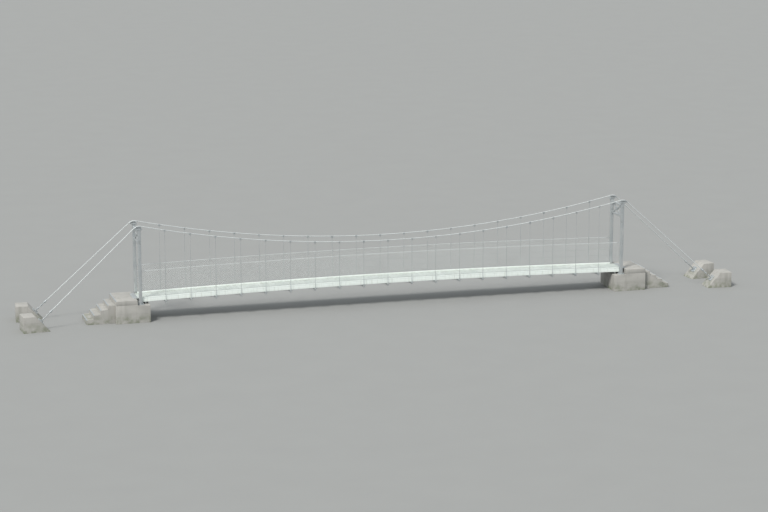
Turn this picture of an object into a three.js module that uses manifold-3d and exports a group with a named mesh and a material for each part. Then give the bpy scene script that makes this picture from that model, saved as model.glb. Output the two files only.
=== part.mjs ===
// A suspension footbridge for a forest walk: a pale steel deck that hangs from two wire ropes
// between portal towers. Millimetres, +Z up, +X along the walk, origin on the ground at mid-span.
import * as THREE from "three";
import { mergeVertices } from "three/addons/utils/BufferGeometryUtils.js";
import Module from "manifold-3d";

const wasm = await Module();
wasm.setup();

// Driving dimensions of the span and the deck.
const BAY = 1000;
const BAYS = 20;
const BAYS_PER_PANEL = 4;
const DECK_TOP = 900;
const CAMBER = 140;
const DECK_WIDTH = 940;
const PLANK_THICK = 40;
const STRINGER_DEPTH = 100;
const STRINGER_WIDTH = 50;
const STRINGER_Y = 400;
const CROSS_BEAM_DEPTH = 80;
const CROSS_BEAM_WIDTH = 60;
const CROSS_BEAM_LENGTH = 1270;
const KERB_WIDTH = 60;
const KERB_MIDDLE_Y = 508;
const KERB_RISE = 40;

// The ropes. Their heights are counted from the deck's top.
const ROPE_PLANE_Y = 575;
const CABLE_RADIUS = 18;
const CABLE_OVER_DECK_MIDDLE = 1630;
const CABLE_OVER_DECK_TOWER = 2880;
const BACKSTAY_ANGLE = THREE.MathUtils.degToRad(42);
const BACKSTAY_SPLAY_Y = 275;
const HAND_ROPE_RADIUS = 10;
const HAND_ROPE_RISE = 1100;
const SIDE_WIRE_RADIUS = 5;
const SIDE_WIRE_RISES = [75, 590];
const HANGER_RADIUS = 8;
const HANGER_FOOT = 56;
const HANGER_FOOT_THICK = 18;
const CLAMP_LENGTH = 76;
const CLAMP_WIDTH = 54;
const CLAMP_HEIGHT = 60;

// The towers and what they stand on.
const LEG_WIDTH = 120;
const BASE_PLATE = 260;
const BASE_PLATE_THICK = 20;
const CAP_PLATE = 230;
const CAP_PLATE_WIDTH = 150;
const HEADROOM = 2150;
const HEAD_CHORD = 80;
const HEAD_DEPTH = 520;
const HEAD_BRACE = 45;
const SADDLE_RADIUS = 300;
const SADDLE_THICK = 90;
const SADDLE_WIDTH = 90;
const SADDLE_LENGTH = 220;
const SADDLE_LIP = THREE.MathUtils.degToRad(4);
const ABUTMENT_HALF_WIDTH = 800;
const SEAT_INNER = 350;
const SEAT_OUTER = 150;
const LANDING_END = 1000;
const BEARING_INSET = 220;
const STEP_RISE = 180;
const STEP_GOING = 280;
const STEP_HALF_WIDTH = 600;

// The anchorages. They are drawn along the backstay that they hold.
const ROD_LENGTH = 650;
const ROD_RADIUS = 20;
const SOCKET_RADIUS = 44;
const SOCKET_LENGTH = 150;
const TURNBUCKLE_RADIUS = 34;
const TURNBUCKLE_LENGTH = 220;
const ANCHOR_PLATE = 260;
const ANCHOR_PLATE_THICK = 25;
const ANCHOR_FACE_HEIGHT = 330;
const ANCHOR_BLOCK_HEIGHT = 620;
const ANCHOR_BLOCK_WIDTH = 760;
const ANCHOR_BLOCK_TOP = 480;

// Values that follow from them.
const GAP = 0.3;
const WELD = 10;
const HALF_SPAN = (BAY * BAYS) / 2;
const CROSS_BEAM_TOP = -(PLANK_THICK + STRINGER_DEPTH);
const SEAT_TOP = DECK_TOP + CROSS_BEAM_TOP - CROSS_BEAM_DEPTH;
const CABLE_MIDDLE = DECK_TOP + CAMBER + CABLE_OVER_DECK_MIDDLE;
const CABLE_SAG = DECK_TOP + CABLE_OVER_DECK_TOWER - CABLE_MIDDLE;
const HANGER_HALF_THICK = HANGER_RADIUS * Math.cos(Math.PI / 6);
const HAND_ROPE_Y = ROPE_PLANE_Y - HANGER_HALF_THICK - GAP - HAND_ROPE_RADIUS;

const galvanised = { color: 0xb9bfc0, roughness: 0.45, metalness: 0.85 };
const palePaint = { color: 0xe6efe9, roughness: 0.4, metalness: 0.1 };
const palePlank = { color: 0xd3ddd7, roughness: 0.5, metalness: 0.6 };
const wireRope = { color: 0x9aa3a8, roughness: 0.5, metalness: 0.8 };
const concrete = { color: 0xa9a79e, roughness: 0.9, metalness: 0 };

const bridge = new THREE.Group();
const SIDES = { north: 1, south: -1 };
const ENDS = { east: 1, west: -1 };

// Geometry with shared vertices, as a solid that can be joined and cut.
function solidOf(geometry) {
  const bare = geometry.clone();
  bare.deleteAttribute("normal");
  bare.deleteAttribute("uv");
  const merged = mergeVertices(bare, 1e-4);
  return new wasm.Manifold(
    new wasm.Mesh({
      numProp: 3,
      vertProperties: new Float32Array(merged.attributes.position.array),
      triVerts: new Uint32Array(merged.index.array),
    }),
  );
}

function join(geometries) {
  return geometries.map(solidOf).reduce((whole, piece) => whole.add(piece));
}

function geometryOf(solid) {
  const { numProp, vertProperties, triVerts } = solid.getMesh();
  const positions = new Float32Array((vertProperties.length / numProp) * 3);
  for (let i = 0; i < positions.length / 3; i++) {
    positions.set(vertProperties.subarray(i * numProp, i * numProp + 3), i * 3);
  }
  const geometry = new THREE.BufferGeometry();
  geometry.setAttribute("position", new THREE.BufferAttribute(positions, 3));
  geometry.setIndex(new THREE.BufferAttribute(triVerts, 1));
  geometry.computeVertexNormals();
  return geometry;
}

function addMesh(name, geometry, finish, parent = bridge) {
  const mesh = new THREE.Mesh(geometry, new THREE.MeshStandardMaterial({ ...finish, flatShading: true }));
  mesh.name = name;
  parent.add(mesh);
  return mesh;
}

// A box by its middle in plan and its lowest and highest level.
function block(lengthX, widthY, x, y, bottom, top) {
  return new THREE.BoxGeometry(lengthX, widthY, top - bottom).translate(x, y, (top + bottom) / 2);
}

// A closed outline in the XZ plane, given a width along Y about a middle.
function sideOutline(points, middleY, width) {
  const shape = new THREE.Shape(points.map(([x, z]) => new THREE.Vector2(x, z)));
  return new THREE.ExtrudeGeometry(shape, { depth: width, bevelEnabled: false })
    .rotateX(Math.PI / 2)
    .translate(0, middleY + width / 2, 0);
}

// The deck's rise over its ends: straight from bay to bay along a shallow parabola.
function camberAt(x) {
  const riseAt = (station) => Math.max(0, CAMBER * (1 - ((station * BAY) / HALF_SPAN) ** 2));
  const station = Math.floor(x / BAY);
  return THREE.MathUtils.lerp(riseAt(station), riseAt(station + 1), x / BAY - station);
}

// A strip between two levels that follow the camber, counted from the deck's top.
function camberedStrip(from, to, below, above, middleY, width) {
  const stations = [from];
  for (let x = (Math.floor(from / BAY) + 1) * BAY; x < to; x += BAY) {
    stations.push(x);
  }
  stations.push(to);
  const level = (x, over) => [x, DECK_TOP + camberAt(x) + over];
  const bottom = stations.map((x) => level(x, below));
  const top = stations.map((x) => level(x, above)).reverse();
  return sideOutline([...bottom, ...top], middleY, width);
}

// A rope's line: straight between its corners, with one step for each of them.
class RopeLine extends THREE.Curve {
  constructor(corners) {
    super();
    this.corners = corners;
  }

  getPoint(t, target = new THREE.Vector3()) {
    const place = t * (this.corners.length - 1);
    const index = Math.min(Math.floor(place), this.corners.length - 2);
    return target.lerpVectors(this.corners[index], this.corners[index + 1], place - index);
  }

  getPointAt(u, target) {
    return this.getPoint(u, target);
  }

  getTangentAt(u) {
    const index = Math.round(u * (this.corners.length - 1));
    const here = this.corners[index];
    const before = this.corners[Math.max(index - 1, 0)];
    const after = this.corners[Math.min(index + 1, this.corners.length - 1)];
    const arriving = here.clone().sub(before).normalize();
    const leaving = after.clone().sub(here).normalize();
    return arriving.add(leaving).normalize();
  }
}

function rope(corners, radius, sides) {
  const section = new THREE.Shape();
  for (let i = 0; i < sides; i++) {
    const angle = (i / sides) * 2 * Math.PI;
    const point = [radius * Math.cos(angle), radius * Math.sin(angle)];
    if (i === 0) section.moveTo(...point);
    else section.lineTo(...point);
  }
  return new THREE.ExtrudeGeometry(section, {
    steps: corners.length - 1,
    extrudePath: new RopeLine(corners),
    curveSegments: 1,
  });
}

// The main rope over the span is a parabola, and its slope sets where it lies on the saddles.
const cableAt = (x) => CABLE_MIDDLE + CABLE_SAG * (x / HALF_SPAN) ** 2;
const cableSlope = (x) => (2 * CABLE_SAG * x) / HALF_SPAN ** 2;
let arrival = Math.atan(cableSlope(HALF_SPAN));
arrival = Math.atan(cableSlope(HALF_SPAN - SADDLE_RADIUS * Math.sin(arrival)));
const saddleStart = HALF_SPAN - SADDLE_RADIUS * Math.sin(arrival);
const saddleCentre = cableAt(saddleStart) - SADDLE_RADIUS * Math.cos(arrival);
const LEG_TOP = saddleCentre + SADDLE_RADIUS - CABLE_RADIUS - SADDLE_THICK;

// The arc over the east saddle, from the span's side to the backstay's side, at a given radius.
function saddleArc(radius, fromAngle, toAngle, steps) {
  const points = [];
  for (let i = 0; i <= steps; i++) {
    const angle = THREE.MathUtils.lerp(fromAngle, toAngle, i / steps);
    points.push([HALF_SPAN + radius * Math.sin(angle), saddleCentre + radius * Math.cos(angle)]);
  }
  return points;
}

// Where the backstay ends on the anchor rod, from the height of the anchor block's face.
const saddleEnd = saddleArc(SADDLE_RADIUS, -arrival, BACKSTAY_ANGLE, 1)[1];
const rodTop = ANCHOR_FACE_HEIGHT + ROD_LENGTH * Math.sin(BACKSTAY_ANGLE);
const backstayRun = (saddleEnd[1] - rodTop) / Math.tan(BACKSTAY_ANGLE);
const SPLAY = Math.asin(BACKSTAY_SPLAY_Y / backstayRun);
const anchorX = saddleEnd[0] + backstayRun * Math.cos(SPLAY);

// Half of the main rope, from the first hanger east of mid-span to the east anchor rod.
function halfCable() {
  const corners = [];
  for (let x = BAY; x < HALF_SPAN; x += BAY) {
    corners.push(new THREE.Vector3(x, 0, cableAt(x)));
  }
  for (const [x, z] of saddleArc(SADDLE_RADIUS, -arrival, BACKSTAY_ANGLE, 8)) {
    corners.push(new THREE.Vector3(x, 0, z));
  }
  corners.push(new THREE.Vector3(anchorX, BACKSTAY_SPLAY_Y, rodTop));
  return corners;
}

function cableCorners(side) {
  const east = halfCable();
  const west = east.map((corner) => new THREE.Vector3(-corner.x, corner.y, corner.z)).reverse();
  const whole = [...west, new THREE.Vector3(0, 0, cableAt(0)), ...east];
  return whole.map((corner) => new THREE.Vector3(corner.x, side * (ROPE_PLANE_Y + corner.y), corner.z));
}

// What the main rope needs inside a clamp or a saddle.
function cableRoom(side) {
  return solidOf(rope(cableCorners(side), CABLE_RADIUS + GAP, 10));
}

function addCable(sideName, side) {
  addMesh(`main_cable_${sideName}`, rope(cableCorners(side), CABLE_RADIUS, 10), wireRope);
}

function addHandRope(sideName, side) {
  const corners = [];
  const end = HALF_SPAN - LEG_WIDTH / 2 - GAP;
  for (let station = -BAYS / 2; station <= BAYS / 2; station++) {
    const x = THREE.MathUtils.clamp(station * BAY, -end, end);
    corners.push(new THREE.Vector3(x, side * HAND_ROPE_Y, DECK_TOP + camberAt(x) + HAND_ROPE_RISE));
  }
  addMesh(`hand_rope_${sideName}`, rope(corners, HAND_ROPE_RADIUS, 8), wireRope);
}

// One hanger: a foot on the cross beam, a rod, and a clamp round the main rope.
function hangerPieces(x, y) {
  const foot = DECK_TOP + camberAt(x) + CROSS_BEAM_TOP + GAP;
  const top = cableAt(x);
  const rod = new THREE.CylinderGeometry(HANGER_RADIUS, HANGER_RADIUS, top - foot - WELD, 6)
    .rotateX(Math.PI / 2)
    .rotateZ(Math.PI / 2)
    .translate(x, y, (top + foot + WELD) / 2);
  const slope = Math.atan(cableSlope(x));
  const clamp = new THREE.BoxGeometry(CLAMP_LENGTH, CLAMP_WIDTH, CLAMP_HEIGHT)
    .rotateY(-slope)
    .translate(x, y, top);
  const seat = camberedStrip(
    x - HANGER_FOOT / 2,
    x + HANGER_FOOT / 2,
    CROSS_BEAM_TOP + GAP,
    CROSS_BEAM_TOP + GAP + HANGER_FOOT_THICK,
    y,
    HANGER_FOOT,
  );
  return [seat, rod, clamp];
}

// A length of the side: its hangers, and the wires that carry the netting between them.
// The wires run from one limit to the other, and stop short of a hanger that another panel holds.
function addSidePanel(name, side, hangers, from, to, room) {
  const y = side * ROPE_PLANE_Y;
  const pieces = hangers.flatMap((x) => hangerPieces(x, y));
  const corners = [from, ...hangers.filter((x) => x > from && x < to), to];
  for (const rise of SIDE_WIRE_RISES) {
    const line = corners.map((x) => new THREE.Vector3(x, y, DECK_TOP + camberAt(x) + rise));
    pieces.push(rope(line, SIDE_WIRE_RADIUS, 6));
  }
  addMesh(name, geometryOf(join(pieces).subtract(room)), galvanised);
}

function addSidePanels(sideName, side) {
  const room = cableRoom(side);
  const panels = BAYS / BAYS_PER_PANEL;
  for (let panel = 0; panel < panels; panel++) {
    const west = -HALF_SPAN + panel * BAYS_PER_PANEL * BAY;
    const east = west + BAYS_PER_PANEL * BAY;
    const middle = (west + east) / 2;
    const keepsWest = middle > BAY;
    const keepsEast = middle < -BAY;
    const hangers = [];
    for (let x = west; x <= east; x += BAY) {
      const between = x > west && x < east;
      const onEdge = (x === west && keepsWest) || (x === east && keepsEast);
      if (Math.abs(x) < HALF_SPAN && (between || onEdge)) hangers.push(x);
    }
    const reach = (x) => (Math.abs(x) === HALF_SPAN ? LEG_WIDTH / 2 : HANGER_RADIUS) + GAP;
    const from = keepsWest ? west : west + reach(west);
    const to = keepsEast ? east : east - reach(east);
    addSidePanel(`side_panel_${sideName}_${panel + 1}`, side, hangers, from, to, room);
  }
}

// Stringers on cross beams, one at each hanger, and a bearing beam on each abutment.
function addDeckFrame() {
  const reach = HALF_SPAN + SEAT_OUTER - WELD;
  const pieces = [-STRINGER_Y, 0, STRINGER_Y].map((y) =>
    camberedStrip(-reach, reach, CROSS_BEAM_TOP - WELD, -PLANK_THICK - GAP, y, STRINGER_WIDTH),
  );
  for (let x = BAY - HALF_SPAN; x < HALF_SPAN; x += BAY) {
    const half = CROSS_BEAM_WIDTH / 2;
    const bottom = CROSS_BEAM_TOP - CROSS_BEAM_DEPTH;
    pieces.push(camberedStrip(x - half, x + half, bottom, CROSS_BEAM_TOP, 0, CROSS_BEAM_LENGTH));
  }
  for (const end of Object.values(ENDS)) {
    const x = end * (HALF_SPAN - BEARING_INSET);
    pieces.push(block(CROSS_BEAM_WIDTH, DECK_WIDTH, x, 0, SEAT_TOP, DECK_TOP + CROSS_BEAM_TOP));
  }
  addMesh("deck_frame", geometryOf(join(pieces)), galvanised);
}

function addDeckPanels() {
  const joint = 3;
  const panels = BAYS / BAYS_PER_PANEL;
  for (let panel = 0; panel < panels; panel++) {
    const west = -HALF_SPAN + panel * BAYS_PER_PANEL * BAY;
    const east = west + BAYS_PER_PANEL * BAY;
    const from = panel === 0 ? west - SEAT_OUTER + joint : west + joint / 2;
    const to = panel === panels - 1 ? east + SEAT_OUTER - joint : east - joint / 2;
    addMesh(`deck_panel_${panel + 1}`, camberedStrip(from, to, -PLANK_THICK, 0, 0, DECK_WIDTH), palePlank);
  }
}

function addKerb(sideName, side) {
  const end = HALF_SPAN - LEG_WIDTH / 2 - WELD;
  const strip = camberedStrip(-end, end, CROSS_BEAM_TOP + GAP, KERB_RISE, side * KERB_MIDDLE_Y, KERB_WIDTH);
  addMesh(`kerb_${sideName}`, strip, palePaint);
}

function addTowerLeg(name, end, side) {
  const x = end * HALF_SPAN;
  const y = side * ROPE_PLANE_Y;
  const plateTop = SEAT_TOP + BASE_PLATE_THICK;
  const pieces = [
    block(BASE_PLATE, BASE_PLATE, x, y, SEAT_TOP, plateTop),
    block(LEG_WIDTH, LEG_WIDTH, x, y, plateTop - WELD, LEG_TOP - WELD),
    block(CAP_PLATE, CAP_PLATE_WIDTH, x, y, LEG_TOP - BASE_PLATE_THICK, LEG_TOP),
  ];
  addMesh(name, geometryOf(join(pieces)), galvanised);
}

// The frame over the walk between two legs: two chords with crossed braces.
function addHeadFrame(name, end) {
  const x = end * HALF_SPAN;
  const width = 2 * (ROPE_PLANE_Y - LEG_WIDTH / 2 - GAP);
  const bottom = DECK_TOP + HEADROOM;
  const rise = HEAD_DEPTH - HEAD_CHORD;
  const pieces = [
    block(HEAD_CHORD, width, x, 0, bottom, bottom + HEAD_CHORD),
    block(HEAD_CHORD, width, x, 0, bottom + rise, bottom + HEAD_DEPTH),
  ];
  const run = width - HEAD_CHORD;
  for (const lean of [1, -1]) {
    pieces.push(
      new THREE.BoxGeometry(HEAD_BRACE, Math.hypot(run, rise), HEAD_BRACE)
        .rotateX(lean * Math.atan2(rise, run))
        .translate(x, 0, bottom + HEAD_DEPTH / 2),
    );
  }
  addMesh(name, geometryOf(join(pieces)), galvanised);
}

// A grooved block on top of a leg that turns the main rope down to its anchorage.
function addSaddle(name, end, side) {
  const half = SADDLE_LENGTH / 2;
  const outline = [
    [HALF_SPAN + half, LEG_TOP + GAP],
    [HALF_SPAN - half, LEG_TOP + GAP],
    ...saddleArc(SADDLE_RADIUS, -arrival - SADDLE_LIP, BACKSTAY_ANGLE, 8),
  ];
  const placed = outline.map(([x, z]) => [end * x, z]);
  const body = solidOf(sideOutline(placed, side * ROPE_PLANE_Y, SADDLE_WIDTH));
  addMesh(name, geometryOf(body.subtract(cableRoom(side))), galvanised);
}

function addAbutment(name, end) {
  const outline = [
    [HALF_SPAN - SEAT_INNER, 0],
    [HALF_SPAN + LANDING_END, 0],
    [HALF_SPAN + LANDING_END, DECK_TOP],
    [HALF_SPAN + SEAT_OUTER, DECK_TOP],
    [HALF_SPAN + SEAT_OUTER, SEAT_TOP - GAP],
    [HALF_SPAN - SEAT_INNER, SEAT_TOP - GAP],
  ];
  const placed = outline.map(([x, z]) => [end * x, z]);
  addMesh(name, sideOutline(placed, 0, 2 * ABUTMENT_HALF_WIDTH), concrete);
}

function addSteps(name, end) {
  const start = HALF_SPAN + LANDING_END + GAP;
  const count = DECK_TOP / STEP_RISE - 1;
  const outline = [[start, 0], [start + count * STEP_GOING, 0]];
  for (let step = 1; step <= count; step++) {
    const edge = start + (count - step + 1) * STEP_GOING;
    outline.push([edge, step * STEP_RISE], [edge - STEP_GOING, step * STEP_RISE]);
  }
  const placed = outline.map(([x, z]) => [end * x, z]);
  addMesh(name, sideOutline(placed, 0, 2 * STEP_HALF_WIDTH), concrete);
}

// One anchorage in its own frame: X runs outwards along the backstay in plan, from the rod's top.
function addAnchorage(place, end, side) {
  const frame = new THREE.Group();
  frame.position.set(end * anchorX, side * (ROPE_PLANE_Y + BACKSTAY_SPLAY_Y), 0);
  frame.rotation.z = end > 0 ? side * SPLAY : Math.PI - side * SPLAY;
  bridge.add(frame);

  const faceX = ROD_LENGTH * Math.cos(BACKSTAY_ANGLE);
  const lean = Math.tan(BACKSTAY_ANGLE);
  const front = faceX - ANCHOR_FACE_HEIGHT * lean;
  const brow = faceX + (ANCHOR_BLOCK_HEIGHT - ANCHOR_FACE_HEIGHT) * lean;
  const outline = [
    [front, 0],
    [brow + ANCHOR_BLOCK_TOP, 0],
    [brow + ANCHOR_BLOCK_TOP, ANCHOR_BLOCK_HEIGHT],
    [brow, ANCHOR_BLOCK_HEIGHT],
  ];
  addMesh(`anchor_block_${place}`, sideOutline(outline, 0, ANCHOR_BLOCK_WIDTH), concrete, frame);

  const turnbuckle = (ROD_LENGTH - SOCKET_LENGTH - TURNBUCKLE_LENGTH) / 2;
  const profile = [
    [0, GAP + WELD],
    [ROD_RADIUS, GAP + WELD],
    [ROD_RADIUS, turnbuckle],
    [TURNBUCKLE_RADIUS, turnbuckle + ROD_RADIUS],
    [TURNBUCKLE_RADIUS, turnbuckle + TURNBUCKLE_LENGTH],
    [ROD_RADIUS, turnbuckle + TURNBUCKLE_LENGTH + ROD_RADIUS],
    [ROD_RADIUS, ROD_LENGTH - SOCKET_LENGTH],
    [SOCKET_RADIUS, ROD_LENGTH - SOCKET_LENGTH + ROD_RADIUS],
    [CABLE_RADIUS + ROD_RADIUS / 2, ROD_LENGTH - GAP],
    [0, ROD_LENGTH - GAP],
  ].map(([radius, along]) => new THREE.Vector2(radius, along));
  const rod = new THREE.LatheGeometry(profile, 10);
  const plate = new THREE.BoxGeometry(ANCHOR_PLATE, ANCHOR_PLATE_THICK, ANCHOR_PLATE);
  plate.translate(0, ANCHOR_PLATE_THICK / 2 + GAP, 0);
  const stay = geometryOf(join([plate, rod]));
  stay.rotateX(Math.PI / 2).rotateY(BACKSTAY_ANGLE - Math.PI / 2);
  stay.translate(faceX, 0, ANCHOR_FACE_HEIGHT);
  addMesh(`anchor_rod_${place}`, stay, galvanised, frame);
}

addDeckFrame();
addDeckPanels();
for (const [sideName, side] of Object.entries(SIDES)) {
  addKerb(sideName, side);
  addCable(sideName, side);
  addHandRope(sideName, side);
  addSidePanels(sideName, side);
}
for (const [endName, end] of Object.entries(ENDS)) {
  addAbutment(`abutment_${endName}`, end);
  addSteps(`steps_${endName}`, end);
  addHeadFrame(`tower_head_${endName}`, end);
  for (const [sideName, side] of Object.entries(SIDES)) {
    const place = `${endName}_${sideName}`;
    addTowerLeg(`tower_leg_${place}`, end, side);
    addSaddle(`saddle_${place}`, end, side);
    addAnchorage(place, end, side);
  }
}

export default bridge;
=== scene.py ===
# %% [markdown]
# Dressing a suspension footbridge
#
# The walk is a narrow pale metal deck. It hangs on steel rods from two wire ropes, and the ropes
# run from one concrete anchor block to the other, over a portal tower at each end. It could be
# modelled from nothing, but the packed solids already say how long and how high everything is. So
# this lesson only gives each of them its real surface: ribs on the planks, the lay of the ropes,
# the netting, the nuts and the weather on the concrete.

# %% Load the fixed frame
import math
import random

import bmesh
import bpy
import numpy as np
from mathutils import Matrix, Vector


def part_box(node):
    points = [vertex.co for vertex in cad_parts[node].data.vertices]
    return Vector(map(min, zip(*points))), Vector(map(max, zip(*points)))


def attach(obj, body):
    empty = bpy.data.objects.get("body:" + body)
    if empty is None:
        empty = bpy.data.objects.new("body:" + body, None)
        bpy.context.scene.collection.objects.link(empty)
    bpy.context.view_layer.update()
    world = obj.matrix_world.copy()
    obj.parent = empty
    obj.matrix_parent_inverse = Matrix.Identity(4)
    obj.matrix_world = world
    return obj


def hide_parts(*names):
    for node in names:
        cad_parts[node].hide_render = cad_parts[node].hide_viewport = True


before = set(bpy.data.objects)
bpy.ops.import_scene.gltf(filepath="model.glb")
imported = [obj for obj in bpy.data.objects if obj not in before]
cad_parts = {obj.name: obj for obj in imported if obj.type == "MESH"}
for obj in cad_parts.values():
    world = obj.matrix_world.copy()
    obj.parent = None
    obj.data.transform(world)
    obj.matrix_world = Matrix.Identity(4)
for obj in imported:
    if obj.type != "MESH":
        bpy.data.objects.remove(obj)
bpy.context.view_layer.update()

# %% [markdown]
# Every later step hangs on a few sizes of the bridge. They could be typed in again, but reading
# them from the solids keeps the dressing true to the model when the model changes. A tower leg
# gives the half span, the plane of the ropes and the seat it stands on. Two deck panels give the
# deck's level and its camber.

# %% Read the driving sizes
leg_low, leg_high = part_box("tower_leg_east_north")
half_span = (leg_low.x + leg_high.x) / 2
rope_y = (leg_low.y + leg_high.y) / 2
seat_level = leg_low.z
leg_top = leg_high.z

plank_depth = 0.04
deck_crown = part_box("deck_panel_3")[1].z
deck_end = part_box("deck_panel_5")[0].z + plank_depth
deck_half_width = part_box("deck_panel_3")[1].y
bay = 1.0
bays = round(2 * half_span / bay)
sides = {"north": 1, "south": -1}
ends = {"east": 1, "west": -1}
print("half span", round(half_span, 3), "metres in", bays // 2, "bays")
print("deck from", round(deck_end, 3), "to", round(deck_crown, 3), "metres up")


# %% [markdown]
# The deck is not level: it rises a little towards mid-span, as hung decks do so that they never
# look slack. Each plank could be given a height and a tilt of its own. But a parabola gives the
# rise from two numbers and its slope gives the tilt, so one function can place everything that lies
# on the deck or hangs under it.

# %% Follow the camber
def deck_top(x):
    return deck_end + (deck_crown - deck_end) * max(0.0, 1 - (x / half_span) ** 2)


def deck_tilt(x):
    inside = abs(x) < half_span
    return math.atan(-2 * (deck_crown - deck_end) * x / half_span**2) if inside else 0.0


def on_deck(x, y=0.0, rise=0.0):
    return Matrix.Translation((x, y, deck_top(x) + rise)) @ Matrix.Rotation(-deck_tilt(x), 4, "Y")


print("tilt at the towers:", round(math.degrees(deck_tilt(-half_span + 0.01)), 2), "degrees")


# %% [markdown]
# Whatever shape a piece has, the same happens to it at the end. Its normals are turned outwards,
# its round faces are shaded smooth with the sharp edges kept, and it gets its finish. Then it rides
# on the bridge's only body, and stands for the plain solids that it hides. One function does this
# for all of them, because the same steps typed out for sixty pieces would sooner or later differ.

# %% Make a mesh a piece of the bridge
def dress(name, mesh, finish, stands_for=(), sharp_over=35):
    tidy = bmesh.new()
    tidy.from_mesh(mesh)
    bmesh.ops.recalc_face_normals(tidy, faces=tidy.faces)
    tidy.to_mesh(mesh)
    tidy.free()
    mesh.shade_smooth()
    mesh.set_sharp_from_angle(angle=math.radians(sharp_over))
    mesh.materials.append(finish)
    made = bpy.data.objects.new(name, mesh)
    bpy.context.collection.objects.link(made)
    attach(made, "root")
    if stands_for:
        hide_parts(*stands_for)
    triangles = sum(len(face.vertices) - 2 for face in mesh.polygons)
    print(f"{name}: {triangles} triangles")
    return made


# %% [markdown]
# A bridge is hundreds of small things. One object for each would be slow and untidy, and joining
# finished objects takes long too. A Heap gathers the points and faces of many small shapes in plain
# lists, each shape moved to its place on the way in, and turns them into one mesh at the end.

# %% Gather small things into one mesh
class Heap:
    def __init__(self):
        self.points = []
        self.faces = []

    def add(self, shape, place=None):
        points, faces = shape
        start = len(self.points)
        moved = points if place is None else [place @ Vector(point) for point in points]
        self.points.extend(tuple(point) for point in moved)
        self.faces.extend(tuple(start + index for index in face) for face in faces)
        return self

    def piece(self, name, finish, slot, stands_for=()):
        mesh = bpy.data.meshes.new(name)
        mesh.from_pydata(self.points, [], self.faces)
        return dress(name, mesh, finish, stands_for)


triangle = ([(0, 0, 0), (1, 0, 0), (0, 1, 0)], [(0, 1, 2)])
print("two triangles in a heap have", len(Heap().add(triangle).add(triangle).points), "points")

# %% [markdown]
# Nearly every piece here is an outline that was rolled, folded or extruded along a line. A curve
# object with a bevel could follow that line, but its twist and its ends are hard to control. So
# carry() takes an outline through a row of stations, each one a point with its own across and up,
# and closes both ends.

# %% Carry an outline along a line
X, Y, Z = Vector((1, 0, 0)), Vector((0, 1, 0)), Vector((0, 0, 1))


def carry(outline, stations):
    count = len(outline)
    points = [origin + across * a + up * b for origin, across, up in stations for a, b in outline]
    faces = []
    for ring in range(len(stations) - 1):
        low, high = ring * count, (ring + 1) * count
        for i in range(count):
            after = (i + 1) % count
            faces.append((low + i, low + after, high + after, high + i))
    faces.append(tuple(range(count)))
    faces.append(tuple(range(len(points) - count, len(points))))
    return points, faces


square = [(0, 0), (1, 0), (1, 1), (0, 1)]
print("a carried square has", len(carry(square, [(0 * Z, X, Y), (Z, X, Y)])[1]), "faces")


# %% [markdown]
# The other pieces were turned on a lathe: nuts, sleeves, bosses and sockets. The Screw modifier
# does the same to an edge, but works on whole objects. turn() spins a profile of radius and level
# round the Z axis and gives lists for a Heap. A profile that starts and ends on the axis makes a
# closed solid, and closed=True joins a profile to itself, which makes a ring.

# %% Turn a profile on the lathe
def turn(profile, around, closed=False):
    points, rings, faces = [], [], []
    for radius, level in profile:
        start = len(points)
        if radius == 0:
            points.append((0, 0, level))
            rings.append([start] * around)
            continue
        for i in range(around):
            angle = 2 * math.pi * i / around
            points.append((radius * math.cos(angle), radius * math.sin(angle), level))
        rings.append(list(range(start, start + around)))
    for low, high in zip(rings, rings[1:] + rings[:1] if closed else rings[1:]):
        for i in range(around):
            after = (i + 1) % around
            corners = (low[i], low[after], high[after], high[i])
            faces.append(tuple(dict.fromkeys(corners)))
    return points, faces


print("a turned cone has", len(turn([(0, 0), (1, 0), (0, 1)], 8)[1]), "faces")


# %% [markdown]
# Hollow steel sections have rounded corners, which catch the light as a thin line along each edge.
# A sharp box never looks like steel, and a bevel modifier on hundreds of bars is slow. So section()
# draws the rounded outline once, and bar() and rod() carry it from one point to another.

# %% Steel sections and round rods
def section(width, height, radius, steps=3):
    outline = []
    for corner, (sign_a, sign_b) in enumerate([(1, 1), (-1, 1), (-1, -1), (1, -1)]):
        for step in range(steps + 1):
            angle = math.pi / 2 * (corner + step / steps)
            a = sign_a * (width / 2 - radius) + radius * math.cos(angle)
            b = sign_b * (height / 2 - radius) + radius * math.sin(angle)
            outline.append((a, b))
    return outline


def circle(radius, around=10):
    angles = [2 * math.pi * i / around for i in range(around)]
    return [(radius * math.cos(angle), radius * math.sin(angle)) for angle in angles]


def bar(outline, start, end, up=Z):
    run = (end - start).normalized()
    across = up.cross(run).normalized()
    level = run.cross(across)
    return carry(outline, [(start, across, level), (end, across, level)])


def rod(start, end, radius, around=10):
    run = (end - start).normalized()
    return bar(circle(radius, around), start, end, up=Y if abs(run.y) < 0.7 else Z)


print("a tube's outline has", len(section(0.12, 0.12, 0.012)), "points")

# %% [markdown]
# Cut plates are everywhere on the bridge: under posts, behind bolts, round splices. A scaled cube
# has the size, but a real plate has rounded corners and a broken edge that shines. plate() stacks
# four rounded outlines, of which the lowest and the highest are drawn in by the width of that edge.

# %% Cut plates
corner_share = 0.06


def plate(size_x, size_y, thick, bevel=0.002):
    outline = section(size_x, size_y, min(size_x, size_y) * corner_share, steps=2)
    inner = [(a * (1 - 2 * bevel / size_x), b * (1 - 2 * bevel / size_y)) for a, b in outline]
    levels = [(0, inner), (bevel, outline), (thick - bevel, outline), (thick, inner)]
    points = [(a, b, level) for level, ring in levels for a, b in ring]
    count = len(outline)
    faces = [tuple(range(count)), tuple(range(3 * count, 4 * count))]
    for low in range(0, 3 * count, count):
        for i in range(count):
            after = (i + 1) % count
            faces.append((low + i, low + after, low + count + after, low + count + i))
    return points, faces


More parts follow.
